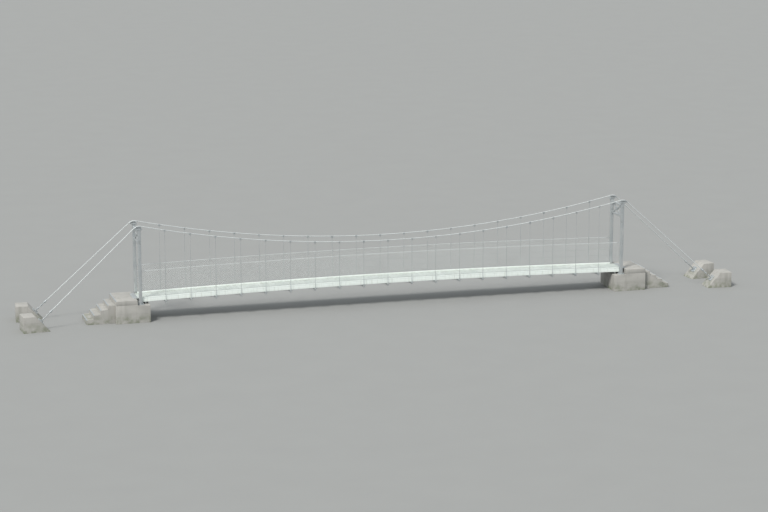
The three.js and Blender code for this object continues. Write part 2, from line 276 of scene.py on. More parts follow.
print("a plate has", len(plate(0.1, 0.1, 0.01)[1]), "faces")

# %% [markdown]
# Bolts and nuts tell the eye how big the steel is. Each could be drawn at its own size. Here a
# washer, a hexagon with its corners turned off and the end of the thread all keep the standard
# proportions to the thread's diameter, so one function serves from the clips to the anchor bolts.
# aim() leans a shape that was built along Z until it points the right way.

# %% Nuts and bolts
washer_thick, nut_height = 0.18, 0.8
tip_radius, tip_long = 0.4, 0.1
washer = [(0, 0), (0.95, 0), (0.95, washer_thick), (0, washer_thick)]
hexagon = [(0, 0), (0.88, 0), (0.92, 0.06), (0.92, 0.74), (0.8, nut_height), (0, nut_height)]


def aim(origin, direction):
    return Matrix.Translation(origin) @ Z.rotation_difference(direction).to_matrix().to_4x4()


def add_nut(heap, origin, direction, thread, tail=0.35):
    place = aim(origin, direction)
    seat = washer_thick * thread
    top = seat + nut_height * thread
    heap.add(turn([(radius * thread, level * thread) for radius, level in washer], 12), place)
    heap.add(turn([(radius * thread, seat + level * thread) for radius, level in hexagon], 6), place)
    if tail:
        end = top + tail * thread
        stub = [(0, top), (thread / 2, top), (thread / 2, end - tip_long * thread)]
        stub += [(tip_radius * thread, end), (0, end)]
        heap.add(turn(stub, 8), place)


trial = Heap()
add_nut(trial, Vector((0, 0, 0)), Z, 0.02)
print("a nut has", len(trial.points), "points")


# %% [markdown]
# Weather is what makes metal and concrete look real. Images of it would need unwrapping, and would
# repeat on a bridge this long, so every finish here is wired from procedural nodes. Making a node,
# feeding its sockets and mixing two colours takes several lines each time, and this class makes one
# line of each.

# %% Wire up a finish
class Wiring:
    def __init__(self, name, roughness, metallic=0.0):
        self.material = bpy.data.materials.new(name)
        self.material.use_nodes = True
        self.tree = self.material.node_tree
        self.shader = self.tree.nodes["Principled BSDF"]
        self.shader.inputs["Roughness"].default_value = roughness
        self.shader.inputs["Metallic"].default_value = metallic
        self.spot = self.node("ShaderNodeTexCoord").outputs["Object"]

    def node(self, kind, settings=None, **values):
        made = self.tree.nodes.new(kind)
        for key, value in (settings or {}).items():
            setattr(made, key, value)
        for key, value in values.items():
            self.feed(made.inputs[key], value)
        return made

    def feed(self, socket, value):
        if isinstance(value, bpy.types.NodeSocket):
            self.tree.links.new(value, socket)
        else:
            socket.default_value = value

    def math(self, operation, a, b=0.0):
        made = self.node("ShaderNodeMath", {"operation": operation})
        self.feed(made.inputs[0], a)
        self.feed(made.inputs[1], b)
        return made.outputs[0]

    def mix(self, share, first, second):
        made = self.node("ShaderNodeMix", {"data_type": "RGBA"})
        for index, value in ((0, share), (6, first), (7, second)):
            self.feed(made.inputs[index], value)
        return made.outputs[2]

    def done(self, colour=None, roughness=None, normal=None):
        for key, value in (("Base Color", colour), ("Roughness", roughness), ("Normal", normal)):
            if value is not None:
                self.feed(self.shader.inputs[key], value)
        print("finish:", self.material.name, "with", len(self.tree.nodes), "nodes")
        return self.material


print("wiring can:", [name for name in vars(Wiring) if not name.startswith("_")])


# %% [markdown]
# A recipe adds the textures. All of them read the piece's own coordinates in metres, so a spangle
# or a pore keeps its true size on every piece. Generated coordinates would stretch with each
# piece's box instead. A fade turns a stretch of a texture's values into a mask, and a bump turns a
# texture into relief.

# %% Recipes of procedural textures
class Recipe(Wiring):
    def noise(self, scale, detail=4.0, stretch=(1, 1, 1), rough=0.55):
        spread = self.node("ShaderNodeMapping", Vector=self.spot, Scale=stretch).outputs["Vector"]
        made = self.node("ShaderNodeTexNoise", Vector=spread, Scale=scale, Detail=detail)
        made.inputs["Roughness"].default_value = rough
        return made.outputs["Fac"]

    def cells(self, scale, output="Distance"):
        return self.node("ShaderNodeTexVoronoi", Vector=self.spot, Scale=scale).outputs[output]

    def axis(self, letter):
        return self.node("ShaderNodeSeparateXYZ", Vector=self.spot).outputs[letter]

    def attribute(self, name):
        return self.node("ShaderNodeAttribute", {"attribute_name": name}).outputs["Fac"]

    def fade(self, value, low, high, start=0.0, end=1.0):
        made = self.node("ShaderNodeMapRange", Value=value)
        for key, number in zip(("From Min", "From Max", "To Min", "To Max"), (low, high, start, end)):
            made.inputs[key].default_value = number
        return made.outputs["Result"]

    def bump(self, height, strength, distance, under=None):
        made = self.node("ShaderNodeBump", Strength=strength, Distance=distance, Height=height)
        if under is not None:
            self.feed(made.inputs["Normal"], under)
        return made.outputs["Normal"]


print("a recipe adds:", [name for name in vars(Recipe) if not name.startswith("_")])


# %% [markdown]
# Hot-dip galvanising leaves crystals of zinc, the spangle, a centimetre or two across. It weathers
# to a dull blue-grey, paler where water has run and dark where grime sticks. A single noise would
# look like cloth or stone. Here cells give the spangle, a slow cloud its dull patches and a
# stretched noise the runs. Spangle and cloud also change the roughness, because the eye reads zinc
# more by its patchy sheen than by its colour.

# %% Galvanised steel
def galvanised_finish():
    recipe = Recipe("dull_galvanised_steel", 0.5, 0.55)
    spangle = recipe.cells(65, "Color")
    cloud = recipe.fade(recipe.noise(2.6, 6), 0.35, 0.65)
    tone = recipe.mix(spangle, (0.34, 0.375, 0.39, 1), (0.55, 0.58, 0.59, 1))
    tone = recipe.mix(recipe.math("MULTIPLY", cloud, 0.55), tone, (0.5, 0.515, 0.51, 1))
    runs = recipe.fade(recipe.noise(11, 4, stretch=(1, 1, 0.1)), 0.52, 0.72)
    tone = recipe.mix(recipe.math("MULTIPLY", runs, 0.5), tone, (0.68, 0.69, 0.67, 1))
    grime = recipe.fade(recipe.noise(5, 7, rough=0.7), 0.55, 0.75)
    tone = recipe.mix(recipe.math("MULTIPLY", grime, 0.45), tone, (0.21, 0.215, 0.19, 1))
    sheen = recipe.fade(recipe.math("ADD", spangle, cloud), 0.3, 1.7, 0.34, 0.62)
    grain = recipe.bump(recipe.noise(160, 3), 0.2, 0.0006)
    return recipe.done(tone, sheen, grain)


zinc = galvanised_finish()


# %% [markdown]
# In the picture the ropes are light lines, nearly as pale as the deck, so the zinc on their crowns
# is still bright. The hollows between the strands are darkened, partly for lubricant and dust that
# lie there and partly as painted shade, and an attribute of the mesh says where they are. Only the
# single wires inside a strand are too fine to model, and a wave along the rope's own UV map stands
# for them in the bump. A wave in object coordinates would not turn with the strands.

# %% Wire rope
def rope_finish():
    recipe = Recipe("laid_wire_rope", 0.46, 0.3)
    along = recipe.node("ShaderNodeUVMap", {"uv_map": "lay"}).outputs["UV"]
    bands = {"bands_direction": "Y"}
    wires = recipe.node("ShaderNodeTexWave", bands, Vector=along, Scale=1.0, Distortion=0.0)
    dust = recipe.noise(35, 4)
    tone = recipe.mix(dust, (0.6, 0.64, 0.65, 1), (0.82, 0.85, 0.84, 1))
    # painted shade and lubricant: the hollows between the strands are darkened
    lubricant_and_shade = recipe.math("MULTIPLY", recipe.attribute("between_strands"), 0.42)
    tone = recipe.mix(lubricant_and_shade, tone, (0.2, 0.21, 0.2, 1))
    normal = recipe.bump(wires.outputs["Fac"], 0.5, 0.0008)
    return recipe.done(tone, recipe.fade(dust, 0.3, 0.7, 0.4, 0.6), normal)


rope_zinc = rope_finish()


# %% [markdown]
# The deck is the palest thing in the picture, almost white. Its planks are a light alloy that stays
# bright where feet polish the ribs, and greys towards the edges, where dirt gathers. The grooves are
# darker too, partly for dirt and partly as painted shade. Someone could paint that by hand. Here two
# attributes on the mesh do it by rule: one says how deep a point lies, and the other what tone its
# plank has, because stock from different days never quite matches.

# %% Pale deck planks
def plank_finish():
    recipe = Recipe("pale_ribbed_plank", 0.42, 0.25)
    tone = recipe.mix(recipe.attribute("plank_tone"), (0.67, 0.735, 0.695, 1), (0.79, 0.85, 0.81, 1))
    damp = recipe.fade(recipe.noise(5, 6), 0.3, 0.7, 0.3, 0.85)
    # painted shade and dirt: the deep points of the ribs, the grooves, are darkened
    grooves = recipe.math("MULTIPLY", recipe.attribute("groove"), damp)
    tone = recipe.mix(grooves, tone, (0.36, 0.38, 0.34, 1))
    edges = recipe.fade(recipe.math("ABSOLUTE", recipe.axis("Y")), 0.2, 0.47)
    dirt = recipe.math("MULTIPLY", edges, recipe.fade(recipe.noise(7, 6), 0.42, 0.62))
    tone = recipe.mix(recipe.math("MULTIPLY", dirt, 0.5), tone, (0.3, 0.31, 0.24, 1))
    scuffs = recipe.noise(60, 5, stretch=(1, 0.2, 1))
    sheen = recipe.fade(scuffs, 0.35, 0.65, 0.34, 0.55)
    return recipe.done(tone, sheen, recipe.bump(scuffs, 0.15, 0.0006))


plank_alloy = plank_finish()


# %% [markdown]
# The two kerbs are the bright lines that edge the deck in the picture. They are steel under an
# almost white coat with a faint touch of green. After some years it is chalky, and rain has carried
# dirt down it. One even noise could do for chalk and dirt alike, but dirt runs straight down, so
# its noise is drawn out in height.

# %% Off-white kerb paint
def kerb_finish():
    recipe = Recipe("weathered_white_paint", 0.4)
    chalk = recipe.noise(5, 6)
    tone = recipe.mix(chalk, (0.79, 0.86, 0.815, 1), (0.88, 0.935, 0.9, 1))
    runs = recipe.fade(recipe.noise(13, 5, stretch=(1, 1, 0.08)), 0.5, 0.72)
    tone = recipe.mix(recipe.math("MULTIPLY", runs, 0.42), tone, (0.4, 0.42, 0.35, 1))
    peel = recipe.bump(recipe.noise(120, 3), 0.1, 0.0005)
    return recipe.done(tone, recipe.fade(chalk, 0.3, 0.7, 0.32, 0.5), peel)


kerb_paint = kerb_finish()


# %% [markdown]
# The concrete was cast against boards, so faint lines run round it where two boards met. It has
# pores, a cloudy cement colour, dark runs, and a green-black damp stain in its lowest forty
# centimetres. Each could be a mask painted on each block. But all of it is a matter of height and
# noise, and because the pieces' coordinates start at the ground, one recipe suits every block.

# %% Weathered concrete
board_half = 0.09
damp_top = 0.42


def concrete_finish():
    recipe = Recipe("board_marked_concrete", 0.85)
    height = recipe.axis("Z")
    cloud, grit = recipe.noise(2.6, 8), recipe.noise(90, 4)
    tone = recipe.mix(cloud, (0.3, 0.295, 0.275, 1), (0.455, 0.445, 0.415, 1))
    tone = recipe.mix(0.25, tone, recipe.mix(grit, (0.2, 0.2, 0.19, 1), (0.6, 0.59, 0.56, 1)))
    runs = recipe.fade(recipe.noise(6, 5, stretch=(1, 1, 0.1)), 0.5, 0.72)
    tone = recipe.mix(recipe.math("MULTIPLY", runs, 0.4), tone, (0.19, 0.19, 0.165, 1))
    patch = recipe.fade(recipe.noise(4.5, 6), 0.38, 0.62)
    damp = recipe.math("MULTIPLY", recipe.fade(height, 0.0, damp_top, 1.0, 0.0), patch)
    tone = recipe.mix(recipe.math("MULTIPLY", damp, 0.75), tone, (0.1, 0.125, 0.06, 1))
    boards = recipe.fade(recipe.math("PINGPONG", height, board_half), 0.0, 0.004)
    normal = recipe.bump(boards, 0.25, 0.002)
    normal = recipe.bump(recipe.fade(recipe.cells(45), 0.0, 0.22), 0.25, 0.002, normal)
    normal = recipe.bump(grit, 0.3, 0.0015, normal)
    return recipe.done(tone, recipe.fade(cloud, 0.3, 0.7, 0.75, 0.95), normal)


concrete = concrete_finish()

# %% [markdown]
# The deck's planks are extruded with ribs that run across the walk, so that wet shoes grip. A bump
# map could fake the ribs seen from above. But to someone who looks along the walk one rib hides the
# next, and only real ones do that. So a plank is one outline, with a ribbed top, two turned-down
# legs and a web in the middle.

# %% The outline of one plank
plank_pitch = 0.25
plank_joint = 0.006
plank_ribs = 8
rib_height = 0.003
leg_thick = 0.004
edge_round = 0.003


def plank_outline(width):
    half = width / 2
    top = [(-half, -plank_depth), (-half, -edge_round), (-half + edge_round, 0)]
    step = (width - 4 * edge_round) / plank_ribs
    for rib in range(plank_ribs):
        left = -half + 2 * edge_round + rib * step
        top += [(left, 0), (left + 0.4 * step, 0)]
        top += [(left + 0.5 * step, -rib_height), (left + 0.9 * step, -rib_height)]
    top += [(half - edge_round, 0), (half, -edge_round), (half, -plank_depth)]
    under = -leg_thick - rib_height
    hollow = [(half - leg_thick, -plank_depth), (half - leg_thick, under)]
    hollow += [(leg_thick / 2, under), (leg_thick / 2, -plank_depth)]
    return top + hollow + [(-a, b) for a, b in reversed(hollow)]


print("a plank's outline has", len(plank_outline(plank_pitch - plank_joint)), "points")

# %% [markdown]
# Each deck panel of the frame covers up to four bays. An Array modifier could repeat one plank
# along it, but could not tilt each copy to the camber. So a loop lays the planks, which share the
# panel's length evenly and leave a joint open for the rain. Two round-headed screws hold each plank
# to each of the three stringers.

# %% Lay the planks
stringer_lines = (-0.4, 0.0, 0.4)
screw_profile = [(0, 0), (0.0095, 0), (0.0085, 0.0022), (0.005, 0.0036), (0, 0.004)]
screw_sink = 0.0005
stock = random.Random(7)


def lay_planks(node):
    low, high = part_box(node)
    count = round((high.x - low.x) / plank_pitch)
    pitch = (high.x - low.x) / count
    edges = [(Y * -deck_half_width, X, Z), (Y * deck_half_width, X, Z)]
    plank, screw = carry(plank_outline(pitch - plank_joint), edges), turn(screw_profile, 8)
    deck, grooves, tones = Heap(), [], []
    for number in range(count):
        x = low.x + (number + 0.5) * pitch
        deck.add(plank, on_deck(x))
        # marks the grooves, which the finish darkens as dirt and painted shade
        grooves += [1.0 if point.z < -rib_height / 2 else 0.0 for point in plank[0]]
        for y in stringer_lines:
            for offset in (-pitch / 4, pitch / 4):
                deck.add(screw, on_deck(x + offset, y, -screw_sink))
        grooves += [0.0] * (len(deck.points) - len(grooves))
        tones += [stock.random()] * (len(deck.points) - len(tones))
    made = deck.piece(node.replace("deck_panel", "planks"), plank_alloy, "deck_plank", [node])
    for name, values in (("groove", grooves), ("plank_tone", tones)):
        made.data.attributes.new(name, "FLOAT", "POINT").data.foreach_set("value", values)


for panel in range(1, 6):
    lay_planks(f"deck_panel_{panel}")

# %% [markdown]
# Long steel under the deck bends with the camber. It could be cut into straight lengths, but then
# every joint would show a corner. follow_deck() carries an outline through a station at every half
# bay, which is close enough that the bend looks smooth.

# %% Bend an outline with the camber
station_gap = bay / 2


def follow_deck(outline, y, middle_rise, reach):
    count = round(2 * reach / station_gap)
    stations = []
    for number in range(count + 1):
        x = -reach + 2 * reach * number / count
        place = on_deck(x, y, middle_rise)
        stations.append((place.translation, Y, place.to_3x3() @ Z))
    return carry(outline, stations)


print("a square that follows the deck has", len(follow_deck(square, 0, 0, half_span)[1]), "faces")

# %% [markdown]
# The kerb is a folded steel section that stiffens the deck's edge and keeps feet from slipping
# under the netting. A long white bar alone would look like a toy's, and its scale would be hard to
# read. Splice plates with four bolts, where its lengths of three to five metres meet, give both.

# %% Kerbs with their splices
kerb_low, kerb_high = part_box("kerb_north")
kerb_width = kerb_high.y - kerb_low.y
kerb_rise = 0.04
beam_level = -0.14
kerb_depth = kerb_rise - beam_level
kerb_end = kerb_high.x
kerb_joints = (-5.5, -1.5, 1.5, 5.5)
splice_long, splice_tall, splice_thick = 0.26, 0.11, 0.006
splice_rise = -0.05
splice_bolt, splice_holes = 0.012, (-0.09, -0.035, 0.035, 0.09)


def make_kerb(side_name, side):
    y = side * (kerb_low.y + kerb_high.y) / 2
    kerb = Heap()
    middle = kerb_rise - kerb_depth / 2
    kerb.add(follow_deck(section(kerb_width, kerb_depth, radius=0.009), y, middle, kerb_end))
    face = y + side * kerb_width / 2
    outward = Matrix.Rotation(-side * math.pi / 2, 4, "X")
    splice = plate(splice_long, splice_tall, splice_thick)
    for x in kerb_joints:
        kerb.add(splice, on_deck(x, face, splice_rise) @ outward)
        for offset in splice_holes:
            spot = on_deck(x + offset, face, splice_rise).translation + Y * side * splice_thick
            add_nut(kerb, spot, Y * side, splice_bolt, tail=0.2)
    kerb.piece(f"white_kerb_{side_name}", kerb_paint, "pale_paint", [f"kerb_{side_name}"])


for side_name, side in sides.items():
    make_kerb(side_name, side)

# %% [markdown]
# At every hanger a hollow cross beam carries the deck. Its open ends are closed with thin caps, and
# cleats with bolts hold the stringers down on it. A beam could be copied as a linked object, but
# each one tilts with the camber, so its parts go into the heap through the same placing matrix.

# %% Cross beams and cleats
beam_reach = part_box("deck_frame")[1].y
beam_width, beam_depth = 0.06, 0.08
stringer_width, stringer_depth = 0.05, 0.0995
cap_thick, cap_margin, cap_sink = 0.003, 0.004, 0.002
cleat_size, cleat_thick = 0.05, 0.005
cleat_bolt, cleat_bolt_shift = 0.01, 0.004


def add_cross_beam(steel, x):
    place = on_deck(x, 0, beam_level - beam_depth / 2)
    outline = section(beam_width, beam_depth, radius=0.007)
    steel.add(bar(outline, Y * -beam_reach, Y * beam_reach), place)
    cap = plate(beam_width - 2 * cap_margin, beam_depth - 2 * cap_margin, cap_thick, bevel=0.001)
    for side in sides.values():
        turned = Matrix.Rotation(-side * math.pi / 2, 4, "X")
        steel.add(cap, place @ Matrix.Translation((0, side * (beam_reach - cap_sink), 0)) @ turned)
    for y in stringer_lines:
        for hand in (-1, 1):
            add_cleat(steel, x, y, hand)


def add_cleat(steel, x, y, hand):
    leaf = plate(cleat_size, cleat_size, cleat_thick, bevel=0.001)
    face = y + hand * stringer_width / 2
    foot = on_deck(x, face + hand * cleat_size / 2, beam_level)
    steel.add(leaf, foot)
    bolt_seat = foot @ Vector((0, hand * cleat_bolt_shift, cleat_thick))
    add_nut(steel, bolt_seat, Z, cleat_bolt, tail=0.2)
    upright = Matrix.Rotation(-hand * math.pi / 2, 4, "X")
    steel.add(leaf, on_deck(x, face, beam_level + cleat_size / 2) @ upright)


trial = Heap()
add_cross_beam(trial, 0)
print("a cross beam with its cleats has", len(trial.points), "points")

# %% [markdown]
# Three stringers run the length of the deck on top of the beams, and both ends of this grid lie on
# a bearing beam over the abutment. A plain slab would do seen from above. But to someone on the
# ground beside the bridge this grid is all of the deck that shows. The stringers stop a hair below
# the planks, because two faces at the very same height would flicker.

# %% Stringers and bearing beams
stringer_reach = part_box("deck_frame")[1].x
bearing_inset = 0.22
pad_thick = 0.008
hair = 0.0005


def make_deck_frame():
    steel = Heap()
    stringer = section(stringer_width, stringer_depth, radius=0.006)
    for y in stringer_lines:
        steel.add(follow_deck(stringer, y, -plank_depth - stringer_depth / 2 - hair, stringer_reach))
    for number in range(1, bays):
        add_cross_beam(steel, -half_span + number * bay)
    for end in ends.values():
        x = end * (half_span - bearing_inset)
        top = deck_top(x) + beam_level
        outline = section(beam_width, top - seat_level - pad_thick, radius=0.006)
        middle = Vector((x, 0, (top + seat_level + pad_thick) / 2))
        steel.add(bar(outline, middle - Y * deck_half_width, middle + Y * deck_half_width))
    steel.piece("under_deck_steel", zinc, "galvanised_steel", ["deck_frame"])


make_deck_frame()

# %% [markdown]
# Seen from below, thin crossed rods run from beam to beam and keep the deck from swaying sideways
# in the wind. Crossed rods that simply meet would cut through each other. So one rod of each pair
# is lifted and the other lowered, until their middles pass a finger's width apart. Each is bolted
# to a small plate at both ends, and a sleeve nut tightens it.

# %% Wind bracing under the deck
bracing_reach = 0.53
bracing_stub = 0.052
bracing_lift = 0.008
bracing_radius, bracing_bolt = 0.005, 0.012
tab_extra, tab_wide, tab_thick = 0.03, 0.07, 0.006
sleeve_share = 0.32
bracing_level = beam_level - beam_depth / 2
sleeve_nut = [(0, 0), (0.009, 0), (0.011, 0.004), (0.011, 0.096), (0.009, 0.1), (0, 0.1)]


def add_bracing_rod(steel, x, lean):
    rise = bracing_level + lean * bracing_lift
    start = on_deck(x + bracing_stub, -lean * bracing_reach, rise).translation
    stop = on_deck(x + bay - bracing_stub, lean * bracing_reach, rise).translation
    run = stop - start
    steel.add(rod(start, stop, bracing_radius, around=8))
    steel.add(turn(sleeve_nut, 6), aim(start + run * sleeve_share, run.normalized()))
    for eye in (start, stop):
        add_nut(steel, eye + Z * (lean * bracing_radius), Z * lean, bracing_bolt, tail=0.2)


def make_wind_bracing():
    steel = Heap()
    level = bracing_level - tab_thick / 2
    for number in range(1, bays):
        for side in sides.values():
            spot = on_deck(-half_span + number * bay, side * bracing_reach, level)
            steel.add(plate(2 * bracing_stub + tab_extra, tab_wide, tab_thick), spot)
    for number in range(1, bays - 1):
        for lean in (-1, 1):
            add_bracing_rod(steel, -half_span + number * bay, lean)
    steel.piece("wind_bracing", zinc, "galvanised_steel")


make_wind_bracing()


# %% [markdown]
# A wire rope follows a line, and its strands turn about that line. Before they can, the line needs
# even steps and a direction to count the turning from. Curve objects do this inside, where it
# cannot be steered. With arrays it takes a few lines: measure the run, mark it off, and cross each
# step with the upright.

# %% Step along a line
def rope_stations(track, step):
    track = np.array(track, dtype=float)
    run = np.concatenate([[0], np.cumsum(np.linalg.norm(np.diff(track, axis=0), axis=1))])
    marks = np.linspace(0, run[-1], round(run[-1] / step) + 1)
    middle = np.stack([np.interp(marks, run, track[:, axis]) for axis in range(3)], axis=1)
    ahead = np.gradient(middle, axis=0)
    across = np.cross([0.0, 0.0, 1.0], ahead)
    upward = np.cross(ahead, across)
    across /= np.linalg.norm(across, axis=1, keepdims=True)
    upward /= np.linalg.norm(upward, axis=1, keepdims=True)
    return marks, middle, across, upward


one_metre = rope_stations([(0, 0, 0), (1, 0, 0)], 0.016)
print("a metre in steps of 16 mm gives", len(one_metre[0]), "stations")

# %% [markdown]
# A wire rope is made of strands, and each strand of fine wires. The skin of it is a grid of
# four-sided faces, one ring of them for each step. A generated map would smear the fine wires, so
# the faces get a UV map of their own, which counts seven wires across a strand and one turn of them
# every twelve millimetres. It counts in tenths of pi, because a wave texture repeats once in each.

# %% Skin a rope
wave_period = math.pi / 10
wires_across = 7
wire_turn = 0.012


def rope_mesh(points, marks, count, per_strand):
    faces, spots = [], []
    for ring in range(len(marks) - 1):
        low, high = ring * count, (ring + 1) * count
        along = [mark / wire_turn * wave_period for mark in marks[ring : ring + 2]]
        for i in range(count):
            after = (i + 1) % count
            faces.append((low + i, low + after, high + after, high + i))
            left, right = (wires_across * wave_period * j / per_strand for j in (i, i + 1))
            corners = (left + along[0], right + along[0], right + along[1], left + along[1])
            spots += [(0, corner) for corner in corners]
    last = len(marks) * count
    faces += [tuple(range(count)), tuple(range(last - count, last))]
    spots += [(0, 0)] * (2 * count)
    mesh = bpy.data.meshes.new("rope")
    mesh.from_pydata(points.reshape(-1, 3).tolist(), [], faces)
    mesh.uv_layers.new(name="lay").data.foreach_set("uv", np.array(spots, dtype=np.float32).ravel())
    return mesh


print("wires across a strand:", wires_across)

# %% [markdown]
# The strands are wound round a core, and that spiral tells a rope from a smooth bar. Six tubes
# could be wound as they are in the factory. But one outline with six lobes, turned a little at
# every step, looks the same with far fewer faces. An attribute keeps where the hollows between the
# strands are, for the dirt and the painted shade that darken them.

# %% Lay a rope
strand_depth = 0.28


def lay_rope(track, radius, lay, step, strands=6, per_strand=4):
    marks, middle, across, upward = rope_stations(track, step)
    count = strands * per_strand
    share = (np.arange(count) % per_strand) / per_strand * 2 - 1
    reach = radius * (1 - strand_depth + strand_depth * np.sqrt(1 - share**2))
    angle = 2 * np.pi * (np.arange(count) / count + marks[:, None] / lay)
    points = middle[:, None] + (reach * np.cos(angle))[..., None] * across[:, None]
    points = points + (reach * np.sin(angle))[..., None] * upward[:, None]
    mesh = rope_mesh(points, marks, count, per_strand)
    # marks the hollows between the strands, which the finish darkens as lubricant and painted shade
    between = mesh.attributes.new("between_strands", "FLOAT", "POINT")
    between.data.foreach_set("value", np.tile(share**2, len(marks)))
    return mesh


print("a strand stands out by", strand_depth, "of the rope's radius")

# %% [markdown]
# The main rope's line is a parabola between the towers, because the deck's weight is spread evenly
# along it. It leaves the parabola where the saddle takes it up, bends round the saddle's arc and
# runs straight down the backstay, a little outwards, to the anchor rod. Points measured off the
# solid would give the line too. These few angles give it exactly, and also place the saddles and
# the anchorages.

# %% The line of the main rope
rope_radius = 0.0172
rope_over_crown, rope_over_end = 1.63, 2.88
rope_middle = deck_crown + rope_over_crown
rope_sag = deck_end + rope_over_end - rope_middle
saddle_radius = 0.3
backstay_angle = math.radians(42)
splay_width = 0.275
rod_length, face_height = 0.65, 0.33


def rope_level(x):
    return rope_middle + rope_sag * (x / half_span) ** 2


def rope_angle(x):
    return math.atan(2 * rope_sag * x / half_span**2)


arrival = rope_angle(half_span - saddle_radius * math.sin(rope_angle(half_span)))
saddle_start = half_span - saddle_radius * math.sin(arrival)
saddle_centre = rope_level(saddle_start) - saddle_radius * math.cos(arrival)
rod_top = face_height + rod_length * math.sin(backstay_angle)
saddle_end_x = half_span + saddle_radius * math.sin(backstay_angle)
saddle_end_z = saddle_centre + saddle_radius * math.cos(backstay_angle)
backstay_run = (saddle_end_z - rod_top) / math.tan(backstay_angle)
splay = math.asin(splay_width / backstay_run)
anchor_x = saddle_end_x + backstay_run * math.cos(splay)
print("rope meets the saddle at", round(math.degrees(arrival), 1), "degrees")
print("anchor rods start at x =", round(anchor_x, 2), "metres")


# %% [markdown]
# With the line known, each main rope is one mesh from anchor to anchor, because a real one is never
# cut at the towers. The lay is between six and seven diameters, as on most rope. A longer step
# between stations would save faces, but the strands would then look kinked.

# %% The main ropes
main_lay, main_step = 0.234, 0.016


def half_line():
    span = [(x, 0, rope_level(x)) for x in np.linspace(0, saddle_start, 81)]
    bend = []
    for angle in np.linspace(-arrival, backstay_angle, 16)[1:]:
        x, z = saddle_radius * math.sin(angle), saddle_radius * math.cos(angle)
        bend.append((half_span + x, 0, saddle_centre + z))
    return span + bend + [(anchor_x, splay_width, rod_top)]


def main_rope(side_name, side):
    east = half_line()
    whole = [(-x, y, z) for x, y, z in reversed(east[1:])] + east
    track = [(x, side * (rope_y + y), z) for x, y, z in whole]
    mesh = lay_rope(track, rope_radius, main_lay, main_step)
    dress(f"laid_main_rope_{side_name}", mesh, rope_zinc, [f"main_cable_{side_name}"])


for side_name, side in sides.items():
    main_rope(side_name, side)

# %% [markdown]
# At each tower a hand rope ends in a pressed sleeve on a threaded stud, which goes right through
# the leg and takes a nut on either face. That way it can be tightened when it slackens. The
# netting's line wires end in the same way, only smaller. Every size could be drawn by itself. But
# one profile in units of the rope's radius, scaled to each of them, keeps them all alike.

# %% End fittings
leg_half = 0.06
sleeve_profile = [(0, 0), (0.7, 0), (0.7, 5), (1.1, 5.2), (1.25, 6), (1.25, 14), (1.0, 15), (0, 15)]
backing_size, backing_thick, stud_size = 5.5, 0.6, 1.5


def add_end_fitting(heap, y, level, end, size):
    face = Vector((end * (half_span - leg_half), y, level))
    inwards = aim(face, X * -end)
    heap.add(turn([(radius * size, along * size) for radius, along in sleeve_profile], 12), inwards)
    backing = plate(backing_size * size, backing_size * size, backing_thick * size, bevel=0.001)
    heap.add(backing, inwards)
    add_nut(heap, face + X * (-end * backing_thick * size), X * -end, stud_size * size, tail=0)
    add_nut(heap, face + X * (end * 2 * leg_half), X * end, stud_size * size, tail=0.6)


trial = Heap()
add_end_fitting(trial, 0, 0, 1, 0.01)
print("an end fitting has", len(trial.points), "points")

# %% [markdown]
# The hand rope is the main rope over again at just over half the size, so lay_rope() makes it too.
# At every hanger a bolted clip holds it to the rod. The clip could be shaped to the strands, but
# its inside never shows, so a short turned sleeve round the rope and two nuts are enough.

# %% Hand ropes
hand_rise = 1.1
hand_radius, hand_lay, hand_step = 0.0098, 0.128, 0.0145
hand_solid_radius = 0.01
hand_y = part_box("hand_rope_north")[1].y - hand_solid_radius
hand_fitting, hand_grip = 0.0105, 0.14
hand_reach = half_span - leg_half - hand_grip
clip_end, clip_bolt, rod_face = 0.0125, 0.008, 0.0075
clip_profile = [(0, -0.017), (clip_end, -0.017), (0.0138, -0.014)]
clip_profile += [(0.0138, 0.014), (clip_end, 0.017), (0, 0.017)]


def add_rope_clip(heap, x, side):
    spot = Vector((x, side * hand_y, deck_top(x) + hand_rise))
    heap.add(turn(clip_profile, 14), aim(spot, X))
    add_nut(heap, spot - Y * (side * clip_end), Y * -side, clip_bolt, tail=0)
    outside = Vector((x, side * (rope_y + rod_face), spot.z))
    add_nut(heap, outside, Y * side, clip_bolt, tail=0.5)


def hand_rope(side_name, side):
    marks = np.linspace(-hand_reach, hand_reach, 121)
    track = [(x, side * hand_y, deck_top(x) + hand_rise) for x in marks]
    mesh = lay_rope(track, hand_radius, hand_lay, hand_step, per_strand=3)
    dress(f"laid_hand_rope_{side_name}", mesh, rope_zinc, [f"hand_rope_{side_name}"])
    fittings = Heap()
    for end in ends.values():
        add_end_fitting(fittings, side * hand_y, deck_end + hand_rise, end, hand_fitting)
    for number in range(1, bays):
        add_rope_clip(fittings, -half_span + number * bay, side)
    fittings.piece(f"hand_rope_ends_{side_name}", zinc, "galvanised_steel")


for side_name, side in sides.items():
    hand_rope(side_name, side)

# %% [markdown]
# A hanger hangs from the main rope in a clamp, one strap folded over the rope and pulled together
# by bolts. It could be a ring with two ears stuck on. Drawn as one outline it has the real fold,
# even wall and open slot.

# %% The strap of a clamp
strap_inside, strap_outside = 0.0178, 0.0252
flange_inside, flange_outside = 0.007, 0.0144
pin_drop, below_pin = 0.052, 0.013


def strap_outline():
    def arc(radius, half_gap, steps):
        start = math.asin(half_gap / radius)
        angles = [start + (2 * math.pi - 2 * start) * step / steps for step in range(steps + 1)]
        return [(-radius * math.sin(angle), -radius * math.cos(angle)) for angle in angles]

    outer, inner = arc(strap_outside, flange_outside, 14), arc(strap_inside, flange_inside, 14)
    foot = -pin_drop - below_pin
    outline = [(-flange_outside, foot)] + outer + [(flange_outside, foot), (flange_inside, foot)]
    return outline + inner[::-1] + [(-flange_inside, foot)]


print("the strap's outline has", len(strap_outline()), "points")

